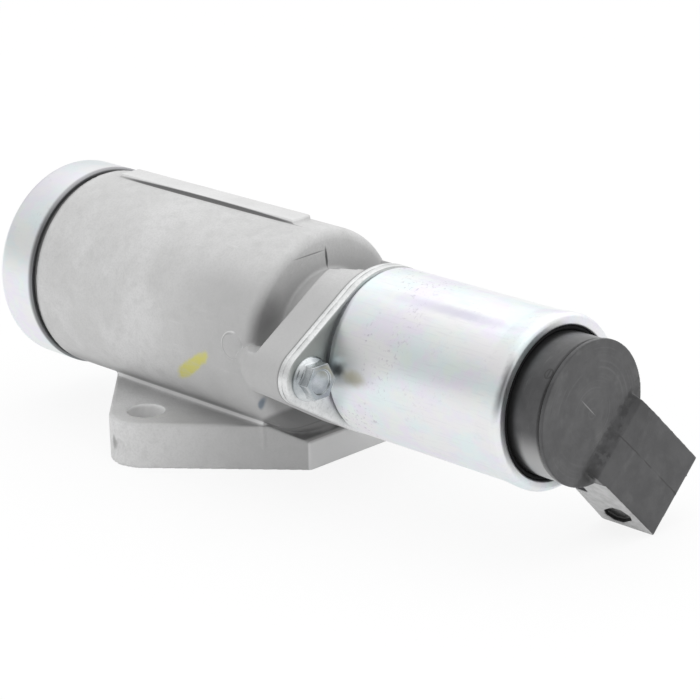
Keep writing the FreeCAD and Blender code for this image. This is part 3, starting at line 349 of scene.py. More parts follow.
def bright_zinc(name, can=False):
    """Zinc plating with its faint colours; the can has its streak, burn and soot, with painted shade at
    its front edge and a painted dark reflection on its lip; the cap has painted shade near its open edge
    and on its upper wall.
    """
    p = Paint(name)
    tint = p.noise(9.0, 4.0, rough=0.6)
    other = p.noise(7.0, 4.0, (2.0, 1, 1), 0.6)
    third = p.noise(5.0, 3.0)
    colour = p.blend(p.span(tint, 0.38, 0.62), (0.84, 0.81, 0.895), (0.79, 0.875, 0.885))
    colour = p.tone(colour, p.span(third, 0.5, 0.68, 0.0, 0.6), (0.82, 0.89, 0.83))
    colour = p.tone(colour, p.span(other, 0.42, 0.62, 0.0, 0.75), (0.875, 0.875, 0.865))
    fine = p.noise(0.5, 3.0, (14, 1, 1))
    colour = p.tone(colour, p.span(fine, 0.52, 0.75, 0.0, 0.22 if can else 0.10), (0.66, 0.67, 0.71))
    along = p.along(ALONG_WAY)
    specks = p.product(p.span(p.noise(0.9, 3.0), 0.57, 0.68), p.span(p.noise(11.0, 2.0), 0.44, 0.58),
                       p.span(along, 50.0, 72.0, 1.0, 0.25))
    colour = p.tone(colour, specks, (0.42, 0.38, 0.46), 0.5 if can else 0.15)
    if can:
        streak = p.spot((68.0, -8.4, 51.15), (1, 0.007, 0), 24.0, 2.0, 6.0, (0, -0.42, 0.91), 0.6)
        worn = p.product(p.fade(streak, 0.2, 1.2), p.span(along, 50.0, 84.0, 0.3, 0.75))
        colour = p.tone(colour, worn, (0.56, 0.54, 0.66))
        # Painted dark reflection on the can's rolled lip.
        lip = p.spot((94.7, -18.0, 41.2), (0, 0.42, 0.91), 8.5, 1.5, 5.0, (0.72, -0.64, 0.27), 0.4)
        colour = p.tone(colour, p.fade(lip, 0.2, 1.1, 0.75), (0.20, 0.20, 0.21))
        burn = p.spot((50.2, -19.97, 33.6), (1, 0, -0.1), 4.6, 2.1, 4.0, (0, -1, 0.03), 1.1)
        colour = p.tone(colour, p.fade(burn, 0.1, 1.3, 0.75), (0.56, 0.51, 0.36))
        soot = p.spot((46.0, -19.95, 34.6), (1, 0, -0.2), 2.6, 1.9, 4.0, (0, -1, 0.08), 0.9)
        colour = p.tone(colour, p.fade(soot, 0.2, 1.3, 0.75), (0.20, 0.21, 0.21))
        # Painted shade on the can's front edge beside the flange plate.
        front = p.spot((43.0, -18.0, 41.7), (0, 0.43, 0.9), 14.0, 6.0, 1.6, ALONG_WAY, 0.3)
        colour = p.tone(colour, p.fade(front, 0.5, 1.1, 0.55), (0.30, 0.30, 0.33))
    else:
        # Painted shade on the cap near its open edge.
        lip = p.product(p.span(along, CAP_EDGE - 1.6, CAP_EDGE - 0.2),
                        p.span(p.from_axis(), 20.0, 22.0))
        colour = p.tone(colour, lip, (0.12, 0.12, 0.125), 0.85)
        # Painted shade on the upper part of the cap's round wall.
        crown_shade = p.product(p.span(p.along(UP_WAY), 46.0, 57.0), p.span(p.from_axis(), 24.5, 25.2))
        colour = p.tone(colour, crown_shade, (0.55, 0.55, 0.57), 0.35)
    normal = p.bump(p.noise(0.4, 2.0, (10, 1, 1)), 0.02, 0.3)
    normal = p.bump(p.noise(5.0, 2.0, (2, 1, 1)), 0.16, 0.3, normal)
    rough = p.span(other, 0.3, 0.7, 0.34, 0.44)
    return p.finish(colour, rough, 1.0, normal)


def plain_metal(name, light, dark, rough, size=0.5, stretch=(1, 6, 6)):
    p = Paint(name)
    lines = p.noise(size, 3.0, stretch)
    cloud = p.noise(6.0, 3.0)
    colour = p.blend(p.span(cloud, 0.3, 0.7), light, dark)
    colour = p.tone(colour, p.span(lines, 0.5, 0.8, 0.0, 0.3), tuple(c * 0.6 for c in dark))
    normal = p.bump(lines, 0.02, 0.3)
    return p.finish(colour, p.span(cloud, 0.2, 0.8, rough, rough + 0.12), 1.0, normal)


def blanked_steel():
    p = Paint("bright_plate_skin")
    cloud = p.noise(5.0, 4.0)
    grain = p.noise(0.6, 3.0)
    height, along = p.along(UP_WAY), p.along(ALONG_WAY)
    colour = p.blend(p.span(cloud, 0.3, 0.7), (0.80, 0.81, 0.81), (0.70, 0.71, 0.71))
    # Painted shade and painted dark reflection on the plate's front face beside the can.
    face = p.product(p.span(along, PLATE_FACE - 0.3, PLATE_FACE - 0.05), p.span(height, 29.0, 37.0),
                     p.span(p.from_axis(), 19.0, 20.5))
    colour = p.tone(colour, face, (0.42, 0.44, 0.42), 0.85)
    colour = p.tone(colour, p.span(grain, 0.45, 0.75, 0.0, 0.35), (0.42, 0.43, 0.43))
    layer = p.product(p.span(along, PAD_FACE + 1.3, PAD_FACE + 1.45),
                      p.fade(along, PAD_FACE + 1.6, PAD_FACE + 1.75),
                      p.span(cloud, 0.35, 0.6, 0.1, 0.6))
    colour = p.tone(colour, layer, 0.16)
    joint = p.fade(along, PAD_FACE + 0.1, PAD_FACE + 0.45, 0.75)
    colour = p.tone(colour, joint, 0.10)
    return p.finish(colour, p.span(cloud, 0.2, 0.8, 0.34, 0.46), 1.0, p.bump(grain, 0.04, 0.35))


def moulded_plastic(name, light, dark, rough):
    p = Paint(name)
    grain = p.noise(0.35, 2.0)
    cloud = p.noise(7.0, 4.0)
    colour = p.blend(p.span(cloud, 0.3, 0.7), light, dark)
    normal = p.bump(grain, 0.05, 0.3)
    return p.finish(colour, p.span(cloud, 0.2, 0.8, rough, rough + 0.1), 0.0, normal, 0.45)


def plug_plastic():
    """The plug's dark grey moulding, with its turned face, part line, scuffs and mould mark."""
    p = Paint("plug_grey_skin")
    cloud = p.noise(5.0, 5.0, rough=0.6)
    colour = p.blend(p.span(cloud, 0.3, 0.7), (0.062, 0.062, 0.064), (0.044, 0.044, 0.046))
    along, reach = p.along(ALONG_WAY), p.from_axis()
    across, down = p.along(ACROSS_WAY, AXIS), p.along(DOWN_WAY, AXIS)
    jagged = p.calc("ADD", down, p.span(p.noise(2.2, 5.0, rough=0.6), 0.25, 0.75, -2.2, 2.2, False))
    on_face = p.product(p.span(along, PLUG_FACE - 0.15, PLUG_FACE - 0.05), p.fade(reach, 15.6, 16.6),
                        p.fade(down, 7.0, 9.0))
    swirl = p.add("ShaderNodeTexNoise", noise_dimensions="1D")
    p.feed(swirl.inputs["W"], p.calc("MULTIPLY", reach, 1.3))
    swirl.inputs["Scale"].default_value = 1.0
    swirl.inputs["Detail"].default_value = 2.0
    rings = p.product(p.span(swirl.outputs["Fac"], 0.45, 0.75, 0.0, 0.35),
                      p.span(p.noise(6.0, 3.0), 0.4, 0.65), on_face)
    colour = p.tone(colour, rings, (0.105, 0.105, 0.108))
    wear = p.noise(0.9, 3.0, (1, 5, 5))
    colour = p.tone(colour, p.span(wear, 0.58, 0.8, 0.0, 0.4), 0.125)

    # Painted shade at the connector's root and bend, and a faint part line down its outer side.
    outside = p.span(along, PLUG_FACE - 0.1, PLUG_FACE + 0.2)
    patch = p.span(p.noise(3.0, 3.0), 0.35, 0.6, 0.15, 1.0)
    root = p.product(p.span(jagged, 6.6, 7.6), p.fade(jagged, 8.4, 9.6), patch, p.span(down, 6.6, 7.2),
                     p.span(along, PLUG_FACE - 0.4, PLUG_FACE - 0.2))
    colour = p.tone(colour, root, (0.020, 0.020, 0.021), 0.8)
    bend_shade = p.product(p.span(down, 7.0, 9.0), p.fade(jagged, 13.8, 15.3), p.span(across, 4.5, 9.5),
                         outside)
    colour = p.tone(colour, bend_shade, (0.024, 0.024, 0.025), 0.6)
    # Painted shadow at the lower corner where the face disc meets the connector.
    corner = p.spot((104.9, -1.5, 19.0), ACROSS_WAY, 3.2, 2.0, 3.0, ALONG_WAY, 0.8)
    colour = p.tone(colour, p.fade(corner, 0.4, 1.2, 0.85), 0.012)
    # Painted sheen on the connector's near side face.
    side_sheen = p.product(p.span(across, -10.3, -10.42), p.span(reach, 16.9, 17.1), p.span(down, 7.0, 7.8),
                       p.span(p.noise(2.0, 4.0), 0.3, 0.7, 0.7, 1.0))
    colour = p.tone(colour, side_sheen, 0.55, 0.9)
    lit = p.product(p.span(along, 96.5, 98.5), p.fade(along, 103.0, 103.4), p.fade(reach, 16.62, 16.7),
                    p.span(p.along((0, -0.62, -0.78), AXIS), 10.5, 15.5, 0.0, 0.8))
    colour = p.tone(colour, lit, 0.40)
    sides = p.calc("ABSOLUTE", across)
    # Painted shade on the walls of the connector's window.
    window_shade = p.product(p.span(sides, 9.1, 9.2), p.fade(sides, 10.3, 10.4), p.span(down, 24.0, 24.4),
                       p.fade(down, 35.0, 35.2), p.fade(along, 107.4, 107.7))
    colour = p.tone(colour, window_shade, 0.016)
    wander = p.calc("MULTIPLY", p.calc("SUBTRACT", p.noise(2.5, 3.0), 0.5), 0.5)
    line = p.calc("ABSOLUTE", p.calc("ADD", p.calc("SUBTRACT", across, 0.55), wander))
    broken = p.span(p.noise(4.0, 3.0), 0.35, 0.6, 0.15, 0.9)
    part = p.product(p.fade(line, 0.10, 0.24), broken, outside, p.span(down, 8.5, 9.5))
    colour = p.tone(colour, part, 0.022)
    nick_middle = AXIS + Vector(ACROSS_WAY) * 0.5 + Vector(DOWN_WAY) * 35.2
    nick_middle.x = CONNECTOR_OUTER
    nick = p.spot(nick_middle, DOWN_WAY, 1.6, 0.45, 2.0, ALONG_WAY)
    colour = p.tone(colour, p.fade(nick, 0.6, 1.1, 0.9), 0.015)
    scratch = p.spot((PLUG_FACE, -1.4, 34.7), (0, 5.1, -5.2), 3.7, 0.16, 0.6, ALONG_WAY, 0.3)
    colour = p.tone(colour, p.fade(scratch, 0.5, 1.1, 0.6), 0.26)

    # Mould mark on the round wall: a bare ring with a bar through it.
    mark = p.spot((MARK_X, -11.6, 44.75), ALONG_WAY, 1.05, 1.25, 3.0, (0, -0.70, 0.71))
    ring = p.product(p.span(mark, 0.68, 0.8), p.fade(mark, 0.98, 1.12))
    bar = p.product(p.fade(mark, 0.75, 0.85),
                    p.fade(p.calc("ABSOLUTE", p.along(ALONG_WAY, (MARK_X, 0, 0))), 0.12, 0.24))
    colour = p.tone(colour, p.calc("MAXIMUM", ring, bar), 0.022, 0.75)

    # Shade down in the gap under the can's lip and in the groove behind the face.
    colour = p.tone(colour, p.product(p.fade(along, 95.7, 97.6, 0.9), p.fade(reach, 17.2, 17.6)), 0.012)
    slit = p.product(p.span(along, 102.75, 103.15), p.fade(along, 103.75, 103.9),
                     p.fade(reach, 16.64, 16.72), p.span(reach, 15.0, 15.4),
                     p.span(p.along((0, -0.75, 0.66), AXIS), -12.0, 12.0, 0.4, 1.0))
    colour = p.tone(colour, slit, 0.012)
    normal = p.bump(p.noise(0.35, 2.0), 0.05, 0.3)
    normal = p.bump(part, 0.12, -0.6, normal)
    p.shader.inputs["Coat Weight"].default_value = 0.5
    p.shader.inputs["Coat Roughness"].default_value = 0.24
    return p.finish(colour, p.span(cloud, 0.2, 0.8, 0.40, 0.52), 0.0, normal, 0.3)


def soft_rubber(name, black, dusty):
    p = Paint(name)
    dust = p.noise(1.8, 4.0)
    colour = p.blend(p.span(dust, 0.5, 0.75, 0.0, 0.3), black, dusty)
    return p.finish(colour, 0.8, 0.0, p.bump(p.noise(0.5), 0.03, 0.2), 0.2)


def open_foam():
    p = Paint("grey_foam_skin")
    cells = p.add("ShaderNodeTexVoronoi")
    p.feed(cells.inputs["Vector"], p.vector("MULTIPLY", p.place, (1100, 1100, 1100)))
    cells.inputs["Scale"].default_value = 1.0
    depth = cells.outputs["Distance"]
    colour = p.blend(p.span(depth, 0.0, 0.6), (0.05, 0.05, 0.05), (0.17, 0.17, 0.17))
    return p.finish(colour, 0.95, 0.0, p.bump(depth, 0.6, 1.0), 0.1)


def wound_copper():
    p = Paint("copper_wire_skin")
    wave = p.add("ShaderNodeTexWave", wave_type="BANDS", bands_direction="X")
    p.feed(wave.inputs["Vector"], p.vector("MULTIPLY", p.place, (1000, 1000, 1000)))
    wave.inputs["Scale"].default_value = 0.8
    colour = p.blend(wave.outputs["Fac"], (0.30, 0.10, 0.04), (0.62, 0.27, 0.12))
    return p.finish(colour, 0.35, 0.9, p.bump(wave.outputs["Fac"], 0.2, 0.8))


CAST = cast_aluminium()
CAN_ZINC = bright_zinc("zinc_can_skin", True)
CAP_ZINC = bright_zinc("zinc_cap_skin")
PLATE_STEEL = blanked_steel()
SCREW_ZINC = plain_metal("screw_zinc_skin", (0.68, 0.71, 0.72), (0.36, 0.39, 0.41), 0.16, 0.7, (1, 1, 1))
PLUG_GREY = plug_plastic()
RUBBER = soft_rubber("black_rubber_skin", (0.010, 0.010, 0.011), (0.03, 0.03, 0.03))
HIDDEN = {
    "black_rubber": RUBBER,
    "grey_foam": open_foam(),
    "plain_steel": plain_metal("plain_steel_skin", (0.56, 0.57, 0.58), (0.45, 0.46, 0.47), 0.3),
    "turned_aluminium": plain_metal("turned_aluminium_skin", (0.8, 0.8, 0.8), (0.7, 0.7, 0.7), 0.28),
    "soft_iron": plain_metal("soft_iron_skin", (0.42, 0.42, 0.43), (0.3, 0.3, 0.31), 0.35),
    "brass_parts": plain_metal("brass_skin", (0.72, 0.52, 0.22), (0.6, 0.42, 0.17), 0.28),
    "tinned_brass": plain_metal("tinned_brass_skin", (0.72, 0.71, 0.67), (0.62, 0.61, 0.56), 0.25),
    "copper_wire": wound_copper(),
    "bobbin_plastic": moulded_plastic("bobbin_skin", (0.66, 0.64, 0.57), (0.6, 0.58, 0.5), 0.45),
    "cast_aluminium": CAST, "zinc_steel": CAP_ZINC, "bright_steel": PLATE_STEEL,
    "screw_zinc": SCREW_ZINC, "plug_plastic": PLUG_GREY,
}


# Meshes

def add_piece(name, mesh, material, stands_for=None):
    """Adds a piece to the valve's body, in place of the CAD node that it stands for."""
    piece = bpy.data.objects.new(name, mesh)
    bpy.context.scene.collection.objects.link(piece)
    mesh.materials.clear()
    mesh.materials.append(material)
    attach(piece, "valve_body")
    if stands_for:
        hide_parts(stands_for)


def smooth_mesh(mesh, sharp_degrees=40.0):
    """Smooth shading, with edges kept sharp where the faces turn by more than the angle."""
    mesh.shade_smooth()
    mesh.set_sharp_from_angle(angle=math.radians(sharp_degrees))


def rounded(points, radii, steps=5):
    """A closed outline with each corner replaced by an arc of its own radius."""
    result = []
    count = len(points)
    for index, (point, radius) in enumerate(zip(points, radii)):
        here = Vector(point)
        before = Vector(points[index - 1]) - here
        after = Vector(points[(index + 1) % count]) - here
        if radius <= 0 or before.length < 1e-6 or after.length < 1e-6:
            result.append(tuple(here))
            continue
        one, two = before.normalized(), after.normalized()
        half = one.angle(two) / 2
        if half > math.radians(88):
            result.append(tuple(here))
            continue
        reach = min(radius / math.tan(half), before.length * 0.49, after.length * 0.49)
        radius = reach * math.tan(half)
        centre = here + (one + two).normalized() * (radius / math.sin(half))
        start, end = here + one * reach - centre, here + two * reach - centre
        sweep = start.angle_signed(end)
        for step in range(steps + 1):
            turn = -sweep * step / steps
            result.append((centre.x + start.x * math.cos(turn) - start.y * math.sin(turn),
                           centre.y + start.x * math.sin(turn) + start.y * math.cos(turn)))
    return result


def lathe(name, outline, steps=256):
    """Turns a closed (x, radius) outline about the valve's axis."""
    around = np.linspace(0.0, 2 * math.pi, steps, endpoint=False)
    profile = np.array(outline, float)
    rows = len(profile)
    spots = np.zeros((steps, rows, 3))
    spots[:, :, 0] = profile[None, :, 0]
    spots[:, :, 1] = np.cos(around)[:, None] * profile[None, :, 1]
    spots[:, :, 2] = np.sin(around)[:, None] * profile[None, :, 1] + AXIS_Z
    faces = []
    for turn in range(steps):
        following = (turn + 1) % steps
        for row in range(rows):
            beyond = (row + 1) % rows
            faces.append((turn * rows + row, turn * rows + beyond,
                          following * rows + beyond, following * rows + row))
    mesh = bpy.data.meshes.new(name)
    mesh.from_pydata((spots.reshape(-1, 3) * MM).tolist(), [], faces)
    work = bmesh.new()
    work.from_mesh(mesh)
    bmesh.ops.remove_doubles(work, verts=work.verts, dist=1e-7)
    bmesh.ops.recalc_face_normals(work, faces=work.faces)
    work.to_mesh(mesh)
    work.free()
    smooth_mesh(mesh)
    return mesh


def softened(node, name, voxel, passes, share, reshape=None):
    """A copy of a CAD node's shape with its edges and corners eased, as cast or moulded.

    The voxel is in millimetres, passes says how often the surface is smoothed, and share is the
    part of the faces that stays.
    """
    mesh = frame["nodes"][node].data.copy()
    work = bmesh.new()
    work.from_mesh(mesh)
    bmesh.ops.remove_doubles(work, verts=work.verts, dist=2e-6)
    work.to_mesh(mesh)
    work.free()
    holder = bpy.data.objects.new(name + "_holder", mesh)
    bpy.context.scene.collection.objects.link(holder)
    remesh = holder.modifiers.new("remesh", "REMESH")
    remesh.mode = "VOXEL"
    remesh.voxel_size = voxel * MM
    ease = holder.modifiers.new("ease", "SMOOTH")
    ease.factor = 0.5
    ease.iterations = passes
    made = bpy.data.meshes.new_from_object(
        holder.evaluated_get(bpy.context.evaluated_depsgraph_get()))
    if reshape is not None:
        spots = np.zeros(len(made.vertices) * 3, np.float32)
        made.vertices.foreach_get("co", spots)
        spots = spots.reshape(-1, 3) / MM
        reshape(spots)
        made.vertices.foreach_set("co", (spots * MM).ravel())
        made.update()
    holder.modifiers.clear()
    holder.data = made
    thin = holder.modifiers.new("thin", "DECIMATE")
    thin.ratio = share
    made = bpy.data.meshes.new_from_object(
        holder.evaluated_get(bpy.context.evaluated_depsgraph_get()))
    bpy.data.objects.remove(holder)
    made.name = name
    made.shade_smooth()
    return made


def true_cylinder(spots, start, end, radius, underside_shade=0.12):
    """Moves the points that lie near a turned surface onto it."""
    reach = np.hypot(spots[:, 1], spots[:, 2] - AXIS_Z)
    near = (spots[:, 0] > start) & (spots[:, 0] < end) & (np.abs(reach - radius) < underside_shade)
    scale = radius / reach[near]
    spots[near, 1] *= scale
    spots[near, 2] = AXIS_Z + (spots[near, 2] - AXIS_Z) * scale


# Housing: the CAD casting with its edges eased and its round walls kept true.
def true_housing(spots):
    true_cylinder(spots, CHAMBER_START + 0.8, CHAMBER_END - 3.2, CHAMBER_RADIUS)
    true_cylinder(spots, CHAMBER_START - 12.0, CHAMBER_START - 0.6, SPIGOT_RADIUS)
    flat = np.abs(spots[:, 2]) < 0.12
    spots[flat, 2] = 0.0
    # The slope under the chamber's end begins at the pedestal's near corner.
    reach = np.hypot(spots[:, 1], spots[:, 2] - AXIS_Z)
    slope = SLOPE_TOP - SLOPE_FALL * (spots[:, 0] - SLOPE_START)
    above = ((spots[:, 0] > SLOPE_START) & (spots[:, 0] < SLOPE_END) & (spots[:, 1] < -6.0)
             & (spots[:, 2] < 13.0) & (spots[:, 2] > slope) & (reach > CHAMBER_RADIUS + 0.15))
    spots[above, 2] = slope[above]


add_piece("housing_cast", softened("housing_casting", "housing_cast", voxel=0.38, passes=3, share=0.25,
                                   reshape=true_housing),
          CAST, "housing_casting")

# End cap: a pressed cup with a shallow pressed step in its floor.
cap_inner = CAP_RADIUS - CAP_WALL
add_piece("cap_pressed", lathe("cap_pressed", rounded(
    [(CAP_END + 0.35, 0.0), (CAP_END + 0.35, 17.0), (CAP_END, 18.2), (CAP_END, CAP_RADIUS),
     (CAP_EDGE, CAP_RADIUS), (CAP_EDGE, cap_inner), (CAP_END + CAP_WALL, cap_inner),
     (CAP_END + CAP_WALL, 0.0)],
    [0, 0.8, 0.8, 2.4, 0.6, 0.15, 1.0, 0], 8)), CAP_ZINC, "end_cap")

# Solenoid can: drawn cup with its rear edge rolled in over the plug.
add_piece("can_drawn", lathe("can_drawn", rounded(
    [(CAN_FRONT, STEM_OPENING), (CAN_FRONT, CAN_RADIUS), (CAN_REAR - 7.0, CAN_RADIUS),
     (CAN_REAR - 2.6, CAN_BEAD_RADIUS), (CAN_REAR, CAN_BEAD_RADIUS),
     (CAN_REAR, CAN_LIP_RADIUS), (CAN_REAR - CAN_WALL, CAN_LIP_RADIUS + 0.35),
     (CAN_REAR - CAN_WALL - 0.3, CAN_RADIUS - CAN_WALL), (CAN_FRONT + CAN_WALL, CAN_RADIUS - CAN_WALL),
     (CAN_FRONT + CAN_WALL, STEM_OPENING)],
    [0.1, 0.9, 3.0, 2.0, 2.3, 0.55, 0.2, 0.1, 0.4, 0.1], 10)), CAN_ZINC, "solenoid_can")


# Flange plate: a blanked plate whose outline is two ears joined to a round middle.
def ear_outline(inset, steps=14):
    big, small = PLATE_MIDDLE_RADIUS - inset, EAR_RADIUS - inset
    lean = math.asin((big - small) / EAR_DISTANCE)
    outline = []
    for side, centre, radius in ((0, EAR_DISTANCE, small), (1, 0.0, big),
                                 (2, -EAR_DISTANCE, small), (3, 0.0, big)):
        middle = side * math.pi / 2
        half = math.pi / 2 - lean if side % 2 == 0 else lean
        for step in range(steps + 1):
            angle = middle - half + 2 * half * step / steps
            outline.append((centre + radius * math.cos(angle), radius * math.sin(angle)))
    return outline


def circle(centre, radius, steps=64):
    """Points (y, z) of a circle about a centre beside the axis."""
    return [(centre + radius * math.cos(2 * math.pi * k / steps),
             radius * math.sin(2 * math.pi * k / steps)) for k in range(steps)]


def plate_mesh():
    work = bmesh.new()

    def ring(points, x):
        made = [work.verts.new((x * MM, y * MM, (z + AXIS_Z) * MM)) for y, z in points]
        return made, [work.edges.new((made[k], made[(k + 1) % len(made)])) for k in range(len(made))]

    def skin(one, two):
        for k in range(len(one)):
            work.faces.new((one[k], one[(k + 1) % len(one)], two[(k + 1) % len(two)], two[k]))

    edge = [(PAD_FACE, 0.35), (PAD_FACE + 0.10, 0.10), (PAD_FACE + 0.35, 0.0),
            (PAD_FACE + 1.35, 0.0), (PAD_FACE + 1.5, 0.07), (PAD_FACE + 1.65, 0.02),
            (PLATE_FACE - 0.45, 0.02), (PLATE_FACE - 0.13, 0.13), (PLATE_FACE, 0.45)]
    rings = [ring(ear_outline(inset), x) for x, inset in edge]
    for first, second in zip(rings, rings[1:]):
        skin(first[0], second[0])
    screw_holes = (EAR_DISTANCE, -EAR_DISTANCE)
    middle = ring(circle(0.0, STEM_OPENING), PAD_FACE)
    back = [ring(circle(y, PLATE_SCREW_HOLE), PAD_FACE) for y in screw_holes]
    front = [ring(circle(y, PLATE_SCREW_HOLE), PLATE_FACE) for y in screw_holes]
    collar = [ring(circle(0.0, radius), PLATE_FACE + rise) for rise, radius in
              ((0.0, 18.9), (0.15, 18.7), (0.5, 18.6), (0.5, STEM_OPENING))]
    for first, second in list(zip(back, front)) + [(middle, collar[3])] + list(zip(collar, collar[1:])):
        skin(first[0], second[0])
    for edges in (rings[0][1] + middle[1] + back[0][1] + back[1][1],
                  rings[-1][1] + front[0][1] + front[1][1] + collar[0][1]):
        bmesh.ops.triangle_fill(work, edges=edges, use_beauty=True)
    bmesh.ops.recalc_face_normals(work, faces=work.faces)
    mesh = bpy.data.meshes.new("plate_blanked")
    work.to_mesh(mesh)
    work.free()
    smooth_mesh(mesh, 30.0)
    return mesh


add_piece("plate_blanked", plate_mesh(), PLATE_STEEL, "flange_plate")
add_piece("screws_rolled", softened("flange_screws", "screws_rolled", voxel=0.14, passes=3, share=0.6),
          SCREW_ZINC, "flange_screws")


# Plug and connector, one moulding, with the fine groove behind its face disc.
def true_plug(spots):
    true_cylinder(spots, CAN_REAR - 1.0, PLUG_FACE - 1.7, PLUG_RADIUS, 0.1)
    true_cylinder(spots, PLUG_FACE - 0.8, PLUG_FACE - 0.3, PLUG_FACE_RADIUS, 0.1)
    reach = np.hypot(spots[:, 1], spots[:, 2] - AXIS_Z)
    back = PLUG_FACE - spots[:, 0]
    slit = (back > 0.95) & (back < 1.75) & (np.abs(reach - PLUG_RADIUS - 0.15) < 0.42)
    scale = (PLUG_RADIUS - 0.4) / reach[slit]
    spots[slit, 1] *= scale
    spots[slit, 2] = AXIS_Z + (spots[slit, 2] - AXIS_Z) * scale


add_piece("plug_moulded", softened("plug_body", "plug_moulded", voxel=0.24, passes=3, share=0.5,
                                   reshape=true_plug),
          PLUG_GREY, "plug_body")


# Thin cast flash on the chamber's end face, in runs of points (y, z, radius).
def flash_mesh(name, runs):
    work = bmesh.new()
    for run in runs:
        previous = None
        for y, z, radius in run:
            ring = [work.verts.new(((CHAMBER_END + 0.6 * radius * math.cos(a)) * MM,
                                    (y + radius * math.sin(a) * 0.8) * MM,
                                    (z + radius * math.sin(a) * 0.6) * MM))
                    for a in np.linspace(0, 2 * math.pi, 8, endpoint=False)]
            if previous:
                for k in range(8):
                    work.faces.new((previous[k], previous[(k + 1) % 8], ring[(k + 1) % 8], ring[k]))
            else:
                work.faces.new(ring)
            previous = ring
        work.faces.new(previous)
    bmesh.ops.recalc_face_normals(work, faces=work.faces)
    mesh = bpy.data.meshes.new(name)
    work.to_mesh(mesh)
    work.free()
    smooth_mesh(mesh, 60.0)
    return mesh


add_piece("cast_flash", flash_mesh("cast_flash", [
    [(1.0, 49.4, 0.10), (1.15, 50.4, 0.16), (1.05, 52.0, 0.14), (0.9, 53.6, 0.08)],
    [(-10.3, 52.9, 0.06), (-7.0, 52.95, 0.12), (-4.0, 52.9, 0.10), (0.2, 52.9, 0.12)]]),
    CAST)

# Everything inside keeps its CAD shape and gets a finish of its own.
slots = {part["node"]: part["material_slot"] for part in frame["record"]["subparts"]}
for node, piece in frame["nodes"].items():
    for holder in piece.material_slots:
        holder.material = HIDDEN[slots[node]]
# The cap's sealing ring shows as a grey line in its groove.
aged = soft_rubber("aged_rubber_skin", (0.10, 0.10, 0.10), (0.16, 0.16, 0.16))
for holder in frame["nodes"]["cap_seal"].material_slots:
    holder.material = aged


# Floor, light and camera

def empty_nodes(owner):
    owner.use_nodes = True
    owner.node_tree.nodes.clear()
    return Nodes(owner.node_tree)


# The floor is matt, and glows a little for the camera and in reflections, as a lit sheet does.
floor = bpy.data.materials.new("floor")
n = empty_nodes(floor)
matt = n.add("ShaderNodeBsdfDiffuse")
n.feed(matt.inputs["Color"], (0.9, 0.9, 0.9, 1))
glow = n.add("ShaderNodeEmission")
n.feed(glow.inputs["Color"], (1, 1, 1, 1))
rays = n.add("ShaderNodeLightPath").outputs
looked_at = n.calc("MULTIPLY", rays["Is Camera Ray"], 0.86)
mirrored = n.calc("MULTIPLY", rays["Is Glossy Ray"], 0.75)
mixed = n.add("ShaderNodeMixShader")
n.feed(mixed.inputs[0], n.calc("MAXIMUM", looked_at, mirrored))
n.feed(mixed.inputs[1], matt.outputs[0])
n.feed(mixed.inputs[2], glow.outputs[0])
n.feed(n.add("ShaderNodeOutputMaterial").inputs[0], mixed.outputs[0])

ground = bpy.data.meshes.new("floor")
ground.from_pydata([(-6, -6, 0), (6, -6, 0), (6, 6, 0), (-6, 6, 0)], [], [(0, 1, 2, 3)])
ground.materials.append(floor)
ground_piece = bpy.data.objects.new("floor", ground)
bpy.context.scene.collection.objects.link(ground_piece)
ground_piece.location.z = -0.00005

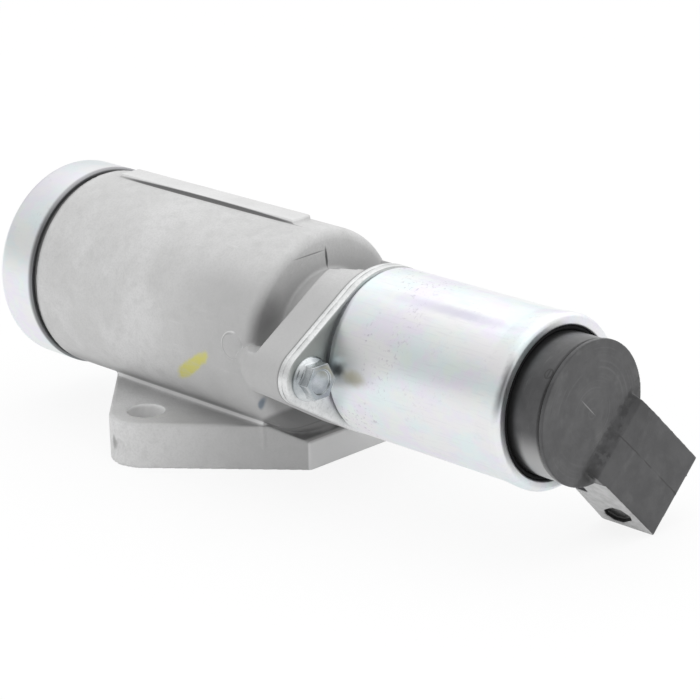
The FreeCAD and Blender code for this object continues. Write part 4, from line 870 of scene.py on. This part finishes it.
# The camera sees white behind the floor. The room that lights the part and is mirrored in it
# is brighter high up and behind, and dark where the camera stands.
world = bpy.data.worlds.new("studio")
bpy.context.scene.world = world
n = empty_nodes(world)
way = n.add("ShaderNodeTexCoord").outputs["Generated"]
ramp = n.add("ShaderNodeValToRGB")
stops = ramp.color_ramp.elements
stops[0].position, stops[0].color = 0.0, (0.66, 0.66, 0.66, 1)
stops[1].position, stops[1].color = 0.76, (1.32, 1.32, 1.32, 1)
for place, shade in ((0.12, 0.71), (0.30, 0.82), (0.56, 0.92), (0.66, 1.12)):
    stops.new(place).color = (shade, shade, shade, 1)
n.feed(ramp.inputs[0], n.vector("DOT_PRODUCT", way, (0.0, 0.5, 0.866)))
room = n.add("ShaderNodeBackground")
n.feed(room.inputs["Color"], ramp.outputs[0])
to_camera = n.vector("DOT_PRODUCT", way, (0.68, -0.64, 0.36))
n.feed(room.inputs["Strength"], n.span(to_camera, 0.92, 0.98, 1.0, 0.2))
white = n.add("ShaderNodeBackground")
n.feed(white.inputs["Color"], (1, 1, 1, 1))
mixed = n.add("ShaderNodeMixShader")
n.feed(mixed.inputs[0], n.add("ShaderNodeLightPath").outputs["Is Camera Ray"])
n.feed(mixed.inputs[1], room.outputs[0])
n.feed(mixed.inputs[2], white.outputs[0])
n.feed(n.add("ShaderNodeOutputWorld").inputs[0], mixed.outputs[0])


def soft_lamp(name, place, target, side, watts):
    data = bpy.data.lights.new(name, "AREA")
    data.shape = "SQUARE"
    data.size = side
    data.energy = watts
    lamp = bpy.data.objects.new(name, data)
    bpy.context.scene.collection.objects.link(lamp)
    lamp.location = place
    way = Vector(target) - Vector(place)
    lamp.rotation_euler = way.to_track_quat("-Z", "Y").to_euler()
    lamp.visible_glossy = False


# Places in metres; the lamps themselves are not mirrored in the zinc.
soft_lamp("key", (-0.15, -1.0, 0.48), (0.02, 0, 0.03), 0.8, 2.2)
soft_lamp("fill", (1.05, -0.25, 0.35), (0.02, 0, 0.03), 0.7, 1.1)
soft_lamp("top", (0.0, 0.45, 0.95), (0.03, 0, 0.03), 0.7, 0.7)

# The camera is the one that was fitted to the photo's outline.
eye = bpy.data.cameras.new("photo_camera")
eye.sensor_width = 36.0
eye.lens = 141.3946
eye.shift_x = -0.06793
eye.shift_y = 0.08602
eye.clip_start = 0.05
eye.clip_end = 20.0
camera = bpy.data.objects.new("photo_camera", eye)
bpy.context.scene.collection.objects.link(camera)
camera.location = (0.46474, -0.43242, 0.24524)
camera.rotation_euler = (math.radians(69.40887), math.radians(0.77307), math.radians(43.82381))
bpy.context.scene.camera = camera
bpy.context.scene.view_settings.view_transform = "Standard"

bpy.context.view_layer.update()
